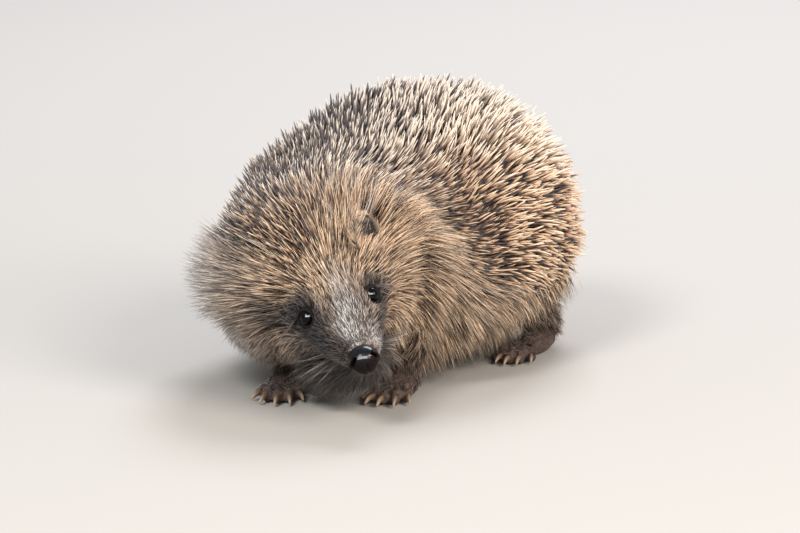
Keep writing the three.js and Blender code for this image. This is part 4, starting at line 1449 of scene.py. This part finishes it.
limb_parts = []
for k, name in enumerate(LIMBS):
    kind = kind_of(name)
    leg, foot = leg_and_foot(name)
    seats = form_seats(leg, LEG_SPACING[kind], k, STRIPS)
    seats = kept(seats, (seats[0][:, 2] > 6) & (seats[0][:, 2] < 30))
    limb_parts.append((seats, np.interp(seats[4], *LEG_HAIR), 66, 0.3, None))
    seats = form_seats(foot, 1.05, k + 4, STRIPS)
    seats = kept(seats, seats[0][:, 2] > FOOT[kind][2] * 0.6)
    limb_parts.append((seats, 3.4, 73, 0.0, along_floor(LIMBS[name][2])))
    for m, path in enumerate(toe_paths(name)):
        seats = form_seats(toe_tube(path), 0.95, 9 + 5 * k + m, STRIPS)
        seats = kept(seats, (seats[1][:, 2] > 0.15) & (seats[4] < some(0.55, 1, len(seats[4]))))
        limb_parts.append((seats, np.interp(seats[4], [0, 1], [3.0, 1.4]), 74, 0.0, None))
limb_parts.append((form_seats(TAIL_RINGS, 1.1, 8, STRIPS), 6.0, 74, 0.3, None))
strands("limb_fur", HAIR, form_coat(limb_parts, 3, 0.105), SHORT_PROFILE, 3)

# %% [markdown]
# ## Fur on the jaw and the muzzle
# Below the jaw the hair is long again and hangs back under the throat. The muzzle's end has a
# velvet of two millimetres that lies back from the nose.

# %% Jaw and muzzle
THROAT_LIE = unit(-HEAD_AXES[0] * 0.8 - HEAD_AXES[1] * 0.45 - np.array([0, 0, 0.5]))

seats = form_seats(JAW_RINGS, 1.0, 0, 1)
seats = kept(seats, head_coordinates(seats[0])[:, 2] < -13)
length = np.interp(seats[4], [0, 0.5, 1], [23, 17, 5])
coat = form_coat([(seats, length, 58, 0.35, THROAT_LIE)], 5, 0.1)
strands("jaw_fur", HAIR, coat, HAIR_PROFILE, 3)

seats = form_seats(COLLAR_RINGS, 0.75, 0, 1)
seats = kept(seats, seats[4] > 0.25)
coat = form_coat([(seats, 2.0, 64, 0.0, -HEAD_AXES[0])], 4, 0.1, 1.4)
strands("muzzle_fur", HAIR, coat, SHORT_PROFILE, 3)

# %% [markdown]
# ## The finish of eyes and lids
# The eyes are wet black beads with a clear cornea: nearly black brown, and as glossy as water. The
# skin of the lids is bare, dark and moist, and only dully glossy.

# %% Eye and lid finishes
def wet_eye():
    """A living eye: a sharp, clear reflection over a brown that is almost black."""
    made, tree, shader, (along,) = material("wet_dark_eye", "along")
    iris = add(tree, "ShaderNodeValToRGB", {"Fac": along},
               stops=[(0.12, "#010101"), (0.3, "#070504"), (0.55, "#020202")])
    feed(shader, {"Base Color": iris, "Roughness": 0.04, "IOR": 1.376, "Specular IOR Level": 0.3})
    return made


def lid_skin():
    """Bare, moist skin: dark, finely grained and dull."""
    made, tree, shader, _ = material("moist_lid_skin")
    grain = add(tree, "ShaderNodeTexNoise", {"Scale": per_mm(0.6), "Detail": 2.0})
    shade = add(tree, "ShaderNodeValToRGB", {"Fac": grain},
                stops=[(0.3, "#050404"), (0.75, "#110e0d")])
    bump = add(tree, "ShaderNodeBump", {"Strength": 0.4, "Distance": 0.0002, "Height": grain})
    feed(shader, {"Base Color": shade, "Roughness": 0.45, "Specular IOR Level": 0.25,
                  "Normal": bump})
    return made


WET_EYE, LID_SKIN = wet_eye(), lid_skin()
print("finishes:", WET_EYE.name, LID_SKIN.name)

# %% [markdown]
# ## Eyes
# Each eye is a fine sphere that bulges slightly where the cornea sits. A rounded rim of lid skin
# runs round its opening and holds it in the socket.

# %% Eyes and lids
EYE_RINGS, EYE_SIDES = 36, 40
CORNEA_BULGE, CORNEA_SPREAD = 0.05, 0.55  # a share of the radius, and an angle from the gaze
LID_POINTS, LID_SIDES = 56, 12
LID_GAP, LID_OUT = 0.22, 0.5  # how far its middle lies off the eyeball, and out from the opening
LID_HEIGHT, LID_WIDTH = 0.38, 0.6  # half of each


def eyeball(sign):
    """The rings of an eyeball from back to front, and the angle from the gaze of each."""
    centre, gaze, u, v = eye_axes(sign)
    turn = np.linspace(0.02, math.pi - 0.02, EYE_RINGS)
    phi = circle(EYE_SIDES)
    bulge = EYE_RADIUS * (1 + CORNEA_BULGE * np.exp(-((turn / CORNEA_SPREAD) ** 2)))
    rings = (centre + gaze * (np.cos(turn) * bulge)[:, None, None]
             + (u * np.cos(phi)[None, :, None] + v * np.sin(phi)[None, :, None])
             * (np.sin(turn) * bulge)[:, None, None])
    return rings[::-1], turn[::-1]


def eyelid(sign):
    """The rings of a rounded rim along the opening of an eye."""
    centre, gaze, u, v = eye_axes(sign)
    phi, section = circle(LID_POINTS)[:, None], circle(LID_SIDES)[None, :, None]
    out = u * np.cos(phi) * EYE_OPENING[0] + v * np.sin(phi) * EYE_OPENING[1]
    rim = centre + unit(gaze * EYE_RADIUS + out) * (EYE_RADIUS + LID_GAP)
    up = unit(rim - centre)
    spread = unit(out - up * np.sum(out * up, 1, keepdims=True))
    return rim[:, None] + (up[:, None] * np.sin(section) * LID_HEIGHT
                           + spread[:, None] * (np.cos(section) * LID_WIDTH + LID_OUT))


for side, sign in (("left", 1), ("right", -1)):
    rings, turn = eyeball(sign)
    mesh = grid_mesh(f"eyeball_{side}", [rings])
    keep_values(mesh, {"along": np.repeat(turn / math.pi, EYE_SIDES)})
    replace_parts(finished(f"eyeball_{side}", mesh, WET_EYE), f"eye_{side}")
    mesh = grid_mesh(f"eyelid_{side}", [eyelid(sign)], closed=True)
    finished(f"eyelid_{side}", mesh, LID_SKIN)
print("eyes: 2, lids: 2")

# %% [markdown]
# ## The finish of the nose
# The nose pad is bare, wet, pebbled skin, dark brown, with a painted blue-grey reflection of the sky
# over its top. The wet is a thin clear film over the skin, so it is a coat on the shader with the
# IOR of water. The pebbles are about half a millimetre across.

# %% Nose skin
def nose_skin():
    """Bare, wet skin: a soft broad gleam over small pebbles."""
    made, tree, shader, (upper,) = material("wet_pebbled_nose_skin", "upper")
    pebbles = add(tree, "ShaderNodeTexVoronoi", {"Scale": per_mm(0.45)}, {"feature": "F1"})
    mottle = add(tree, "ShaderNodeTexNoise", {"Scale": per_mm(3), "Detail": 2.0})
    brown = add(tree, "ShaderNodeValToRGB", {"Fac": mottle},
                stops=[(0.35, "#070403"), (0.7, "#190d09")])
    # A painted reflection of the sky, blue-grey, laid over the top of the pad.
    painted_sky_sheen = add(tree, "ShaderNodeValToRGB", {"Fac": mottle},
                stops=[(0.35, "#0d0f13"), (0.7, "#1a1d23")])
    shade = add(tree, "ShaderNodeMix", {"Factor": upper, "A": brown, "B": painted_sky_sheen}, BLEND,
                output="Result")
    bump = add(tree, "ShaderNodeBump", {"Strength": 0.35, "Distance": 0.0001, "Height": pebbles},
               {"invert": True})
    feed(shader, {"Base Color": shade, "Roughness": 0.3, "IOR": 1.4, "Specular IOR Level": 0.04,
                  "Coat Weight": 0.5, "Coat IOR": 1.33, "Coat Roughness": 0.13, "Normal": bump})
    return made


NOSE_SKIN = nose_skin()
print("finish:", NOSE_SKIN.name)

# %% [markdown]
# ## Nose
# The pad has a comma-shaped nostril at each side and a shallow groove in the middle. It is one
# lofted bulb, pressed in where the nostrils and the groove run, with a low rim round each nostril.

# %% Nose
NOSE_WIDEST, NOSE_REACH = 26.3, 5.5  # its widest ring, and how far it bulges before that
NOSE_HALF, NOSE_TOP, NOSE_UNDER = 5.75, -4.1, -14.4
NOSE_RINGS, NOSE_SIDES = 64, 72
NOSE_CENTRE = np.array([25.5, 0, -9.2])
NOSTRIL = [[29.6, 3.4, -6.1], [29.7, 4.1, -7.3], [29.2, 4.8, -8.6], [28.3, 5.3, -9.7],
           [26.9, 5.7, -10.4]]
NOSTRIL_WIDE = ([0, 5, 13], [0.85, 0.95, 0.4])  # places on its path, widths
NOSTRIL_DEEP = ([0, 5, 13], [1.8, 1.9, 0.5])
NOSTRIL_RIM = 0.22


def nose_bulb():
    """The points of the bulb in the head's frame, before it is pressed."""
    phi = circle(NOSE_SIDES)
    middle, tall = (NOSE_TOP + NOSE_UNDER) / 2, (NOSE_TOP - NOSE_UNDER) / 2
    rings = []
    for way in np.sin(np.radians(np.linspace(-64, 89, NOSE_RINGS))):  # -1 behind, 1 at the front
        size = 1 - 0.22 * way ** 2 if way < 0 else (1 - way ** 2.4) ** (1 / 2.4)
        side = np.cos(phi) * NOSE_HALF * size * (1 - 0.12 * np.maximum(-np.sin(phi), 0))
        up = middle + np.sin(phi) * tall * size - 0.5 * max(way, 0) ** 2
        rings.append(np.stack([np.full(NOSE_SIDES, NOSE_WIDEST + NOSE_REACH * way), side, up], 1))
    return np.array(rings).reshape(-1, 3)


def nose_rings():
    """The finished rings of the nose pad."""
    points = nose_bulb()
    inward = unit(NOSE_CENTRE - points)
    for sign in (1, -1):
        path = spline([[f, s * sign, up] for f, s, up in NOSTRIL], 14)
        path = np.array([points[np.argmin(np.linalg.norm(points - spot, axis=1))] for spot in path])
        near, where = polyline_distance(points, path)
        wide, depth = np.interp(where, *NOSTRIL_WIDE), np.interp(where, *NOSTRIL_DEEP)
        points = points + inward * (depth * (1 - smooth(near / wide, 0.25, 1.1)))[:, None]
        rim = NOSTRIL_RIM * np.exp(-(((near - wide * 1.3) / 0.45) ** 2))
        points = points - inward * rim[:, None]
    groove = np.exp(-((points[:, 1] / 0.35) ** 2)) * (points[:, 0] > 28) * (points[:, 2] < -8.5)
    points = points + inward * (0.45 * groove)[:, None]
    return (EYES_MIDDLE + points @ HEAD_AXES).reshape(NOSE_RINGS, NOSE_SIDES, 3)


rings = nose_rings()
mesh = grid_mesh("nose_pad", [rings])
# The upper share lays the painted sky reflection over the top of the pad.
keep_values(mesh, {"upper": smooth(head_coordinates(rings.reshape(-1, 3))[:, 2], -7.5, -4.2)})
nose = finished("nose_pad", mesh, NOSE_SKIN)
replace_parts(nose, "nose")
print("nose faces:", len(nose.data.polygons))

# %% [markdown]
# ## The catch light
# A wet eye looks alive by what it mirrors. One wide, low lamp in front, like a window, is linked to
# the eyes and the nose alone: they mirror it, and the light and shade of the coat stay as they are.

# %% Catch light
WINDOW_LAMP = ((0.55, -0.97, 0.66), 1.2, 70, "#f4f8ff")  # place and width, power, tint
WINDOW_HEIGHT = 0.43  # metres

window = lamp("window_lamp", *WINDOW_LAMP)
window.data.shape = "RECTANGLE"
window.data.size_y = WINDOW_HEIGHT
window.visible_diffuse = window.visible_camera = False
wet_pieces = bpy.data.collections.new("wet_pieces")
for name in ("eyeball_left", "eyeball_right", "nose_pad"):
    wet_pieces.objects.link(bpy.data.objects[name])
window.light_linking.receiver_collection = wet_pieces

# %% [markdown]
# ## Ears
# Each ear is a thin, rounded cup of skin, dark inside and paler along its rim, which stands in the
# fur and opens forwards and outwards. It is a loft through crescents, each an outer and an inner
# arc joined by a narrow edge. They widen up the ear and narrow again to its blunt top. Skin this
# thin lets a little light through, so it has some subsurface scattering.

# %% Ears
EAR_THICKNESS = 0.8
EAR_RINGS, EAR_ARC = 34, 25  # EAR_ARC points on each arc of a ring


def ear_skin():
    """Thin, dry skin: dull, finely wrinkled, a little translucent."""
    made, tree, shader, (rim,) = material("thin_ear_skin", "rim")
    wrinkles = add(tree, "ShaderNodeTexNoise", {"Scale": per_mm(1.2), "Detail": 4.0})
    inside = add(tree, "ShaderNodeValToRGB", {"Fac": wrinkles},
                 stops=[(0.3, "#15110f"), (0.75, "#2f2724")])
    at_rim = add(tree, "ShaderNodeValToRGB", {"Fac": wrinkles},
                 stops=[(0.3, "#6d6056"), (0.75, "#9a8a7e")])
    shade = add(tree, "ShaderNodeMix", {"Factor": rim, "A": inside, "B": at_rim}, BLEND,
                output="Result")
    bump = add(tree, "ShaderNodeBump", {"Strength": 0.4, "Distance": 0.0002, "Height": wrinkles})
    feed(shader, {"Base Color": shade, "Roughness": 0.6, "Subsurface Weight": 0.08,
                  "Subsurface Scale": 0.001, "Normal": bump})
    return made


def ear_rings(sign):
    """The rings of one ear, each an outer arc and an inner arc back, and how near the rim it is."""
    base, axis, u, v = ear_axes(sign)
    rings, rims = [], []
    for height, half, depth in spline(EAR, EAR_RINGS):
        centre = base + axis * height - u * ear_bend(height)
        turn = np.radians(np.linspace(82, 278, EAR_ARC))
        edge = np.abs(np.linspace(-1, 1, EAR_ARC))
        thick = EAR_THICKNESS * np.sqrt(np.clip(1 - edge ** 8, 0.12, 1))
        outer = u * (np.cos(turn) * depth)[:, None] + v * (np.sin(turn) * half)[:, None]
        inner = (u * (np.cos(turn) * (depth - thick))[:, None]
                 + v * (np.sin(turn) * (half - thick))[:, None])
        rings.append(np.concatenate([centre + outer, (centre + inner)[::-1]]))
        top = smooth(np.full(EAR_ARC, height), 15.6, 17.6)
        rim = np.maximum(smooth(edge, 0.72, 0.92), top)
        rims.append(np.concatenate([rim, rim[::-1]]))
    return np.array(rings), np.concatenate(rims)


EAR_SKIN = ear_skin()
ear_grids = {}
for side, sign in (("left", 1), ("right", -1)):
    ear_grids[sign], rims = ear_rings(sign)
    mesh = grid_mesh(f"ear_cup_{side}", [ear_grids[sign]])
    keep_values(mesh, {"rim": rims})
    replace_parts(finished(f"ear_cup_{side}", mesh, EAR_SKIN), f"ear_{side}")
print("ears:", len(ear_grids))

# %% [markdown]
# ## Fur on the ears
# Short hair covers the back of each ear. Inside the cup fewer and shorter hairs cross from one
# edge. Ear hair is pale and thin, so its tone is raised.

# %% Ear fur
ear_parts = []
for sign, grid in ear_grids.items():
    strip = len(ear_parts)
    seats = form_seats(grid[6:, :EAR_ARC], 0.8, strip, 4, closed=False)
    ear_parts.append((seats, np.interp(seats[4], [0, 0.6, 1], [7, 5, 2.6]), 60, 0.0, None))
    strip += 1
    root, normal, way, unwrap, share = form_seats(grid[8:, EAR_ARC:], 1.25, strip, 4, closed=False)
    _, axis, _, v = ear_axes(sign)
    length = np.interp(unwrap[:, 0] * 4 - strip, [0, 0.35, 0.6, 1], [6, 4, 2, 1.4])
    ear_parts.append(((root, -normal, way, unwrap, share), length, 66, 0.0, axis * 0.85 + v * 0.4))
coat = form_coat(ear_parts, 2, 0.085, 1.6)
coat["tone"] = 0.45 + 0.55 * coat["tone"]
coat["warm"] += (1 - coat["warm"]) * 0.6
strands("ear_fur", HAIR, coat, SHORT_PROFILE, 3)

# %% [markdown]
# ## Claws
# Each foot has five curved claws of horn, brown at the toe and paler towards the blunt point. Each
# is a lofted, slightly flattened cone that bends down to the floor. The claws of a foot are one
# piece.

# %% Claws
CLAW_RINGS, CLAW_SIDES, CLAW_DEPTH = 14, 12, 1.25
CLAW_TAPER = (1, 0.95, 0.7, 0.2)


def claw_horn():
    """Horn, worn smooth by walking: a dull gloss over cloudy browns."""
    made, tree, shader, (along,) = material("claw_horn_worn", "along")
    grain = add(tree, "ShaderNodeTexNoise", {"Scale": per_mm(0.8), "Detail": 3.0})
    lengthwise = add(tree, "ShaderNodeValToRGB", {"Fac": along},
                     stops=[(0.0, "#4d3a2f"), (0.55, "#8c7561"), (1.0, "#b8a591")])
    cloud = add(tree, "ShaderNodeValToRGB", {"Fac": grain},
                stops=[(0.3, "#8a8079"), (0.7, "#ffffff")])
    shade = add(tree, "ShaderNodeMix", {"Factor": 0.35, "A": lengthwise, "B": cloud},
                {**BLEND, "blend_type": "MULTIPLY"}, output="Result")
    bump = add(tree, "ShaderNodeBump", {"Strength": 0.2, "Distance": 0.0001, "Height": grain})
    feed(shader, {"Base Color": shade, "Roughness": 0.38, "Normal": bump})
    return made


def claw_grids(name):
    """The rings of each claw of a foot."""
    reach, radius = CLAW[kind_of(name)]
    grids = []
    for length, way in toes_of(name):
        path = over_sole(name, way, ((length - 1.5, 2.6), (length + reach * 0.5, 2.7),
                                     (length + reach, 1.0)))
        radii = [radius * share for share in CLAW_TAPER]
        grids.append(tube(path, radii, CLAW_RINGS, CLAW_SIDES, CLAW_DEPTH))
    return grids


CLAW_HORN = claw_horn()
for name in LIMBS:
    grids = claw_grids(name)
    mesh = grid_mesh(f"claws_{name}", grids)
    along = np.repeat(np.linspace(0, 1, CLAW_RINGS), CLAW_SIDES)
    keep_values(mesh, {"along": np.tile(along, len(grids))})
    piece = finished(f"claws_{name}", mesh, CLAW_HORN)
    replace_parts(piece, *(f"claw_{name}_{k + 1}" for k in range(5)))
print("claws: 20 in 4 pieces")

# %% [markdown]
# ## Whiskers and guard hairs
# A few long, stiff hairs stand out of the coat: whiskers at the sides of the muzzle, and pale guard
# hairs along the border between spines and fur and on the crown, which catch the light at the
# outline.

# %% Whiskers and guard hairs
WHISKERS, EDGE_GUARDS, CROWN_GUARDS = 34, 260, 150


def single_hairs(stations, angles, length, lean, radius, sag, sway):
    """Single hairs at places on the body."""
    seats = np.stack([stations, angles], 1)
    back, normal = skin_axes(stations, angles)
    lie = swayed(lying(back, normal, np.full(len(seats), 0.3)), normal, sway)
    start, end = leaning(normal, lie, lean), leaning(normal, lie, lean + 14)
    end = unit(end + DOWN * sag)
    root = skin_point(stations, angles) - normal * HAIR_ROOT_DEPTH
    length = above_floor(root, start, end, length)
    return rest_of_coat(seats, root, normal, start, end, length, radius)


def sides_in_turn(count):
    """-1 for the right and 1 for the left side, in turn."""
    return np.where(np.arange(count) % 2, 1, -1)


n = WHISKERS
sign = sides_in_turn(n)
coat = single_hairs(some(14.0, 15.4, n), sign * some(1.7, 2.15, n), some(13, 24, n),
                    some(38, 58, n), some(0.045, 0.065, n), 0.25, sign * some(-12, 14, n))
coat.update(dark=np.zeros(n), pale=some(0.3, 1, n), warm=np.zeros(n))
strands("whiskers", HAIR, coat, [(0, 1), (0.3, 0.85), (0.65, 0.6)], 3)

n = EDGE_GUARDS
sign = sides_in_turn(n)
stations = some(5.5, 10.0, n)
angles = sign * np.radians(spine_edge(stations, sign > 0) + some(-10, 22, n))
guards = single_hairs(stations, angles, some(17, 26, n), some(34, 56, n), some(0.055, 0.08, n),
                      0.1, chance.normal(0, 16, n))
guards.update(dark=np.zeros(n), pale=some(0.5, 1, n))

n = CROWN_GUARDS
crown = single_hairs(some(8.3, 10.8, n), some(-0.9, 1.3, n), some(16, 22, n), some(40, 56, n),
                     some(0.07, 0.11, n), 0.0, chance.normal(0, 9, n))
crown.update(dark=np.zeros(n), pale=some(0.6, 1, n))
guards = {key: np.concatenate([guards[key], crown[key]]) for key in guards}
strands("guard_hairs", HAIR, guards, [(0, 0.8), (0.3, 1), (0.65, 0.75)], 3)

# %% [markdown]
# ## Finish
# The triangles are counted, because a coat of solid hairs has to stay within what a viewer can
# draw.

# %% Sizes and finish
total = sum(len(polygon.vertices) - 2 for piece in bpy.data.objects
            if piece.type == "MESH" and not piece.hide_render for polygon in piece.data.polygons)
print("triangles in all:", total)
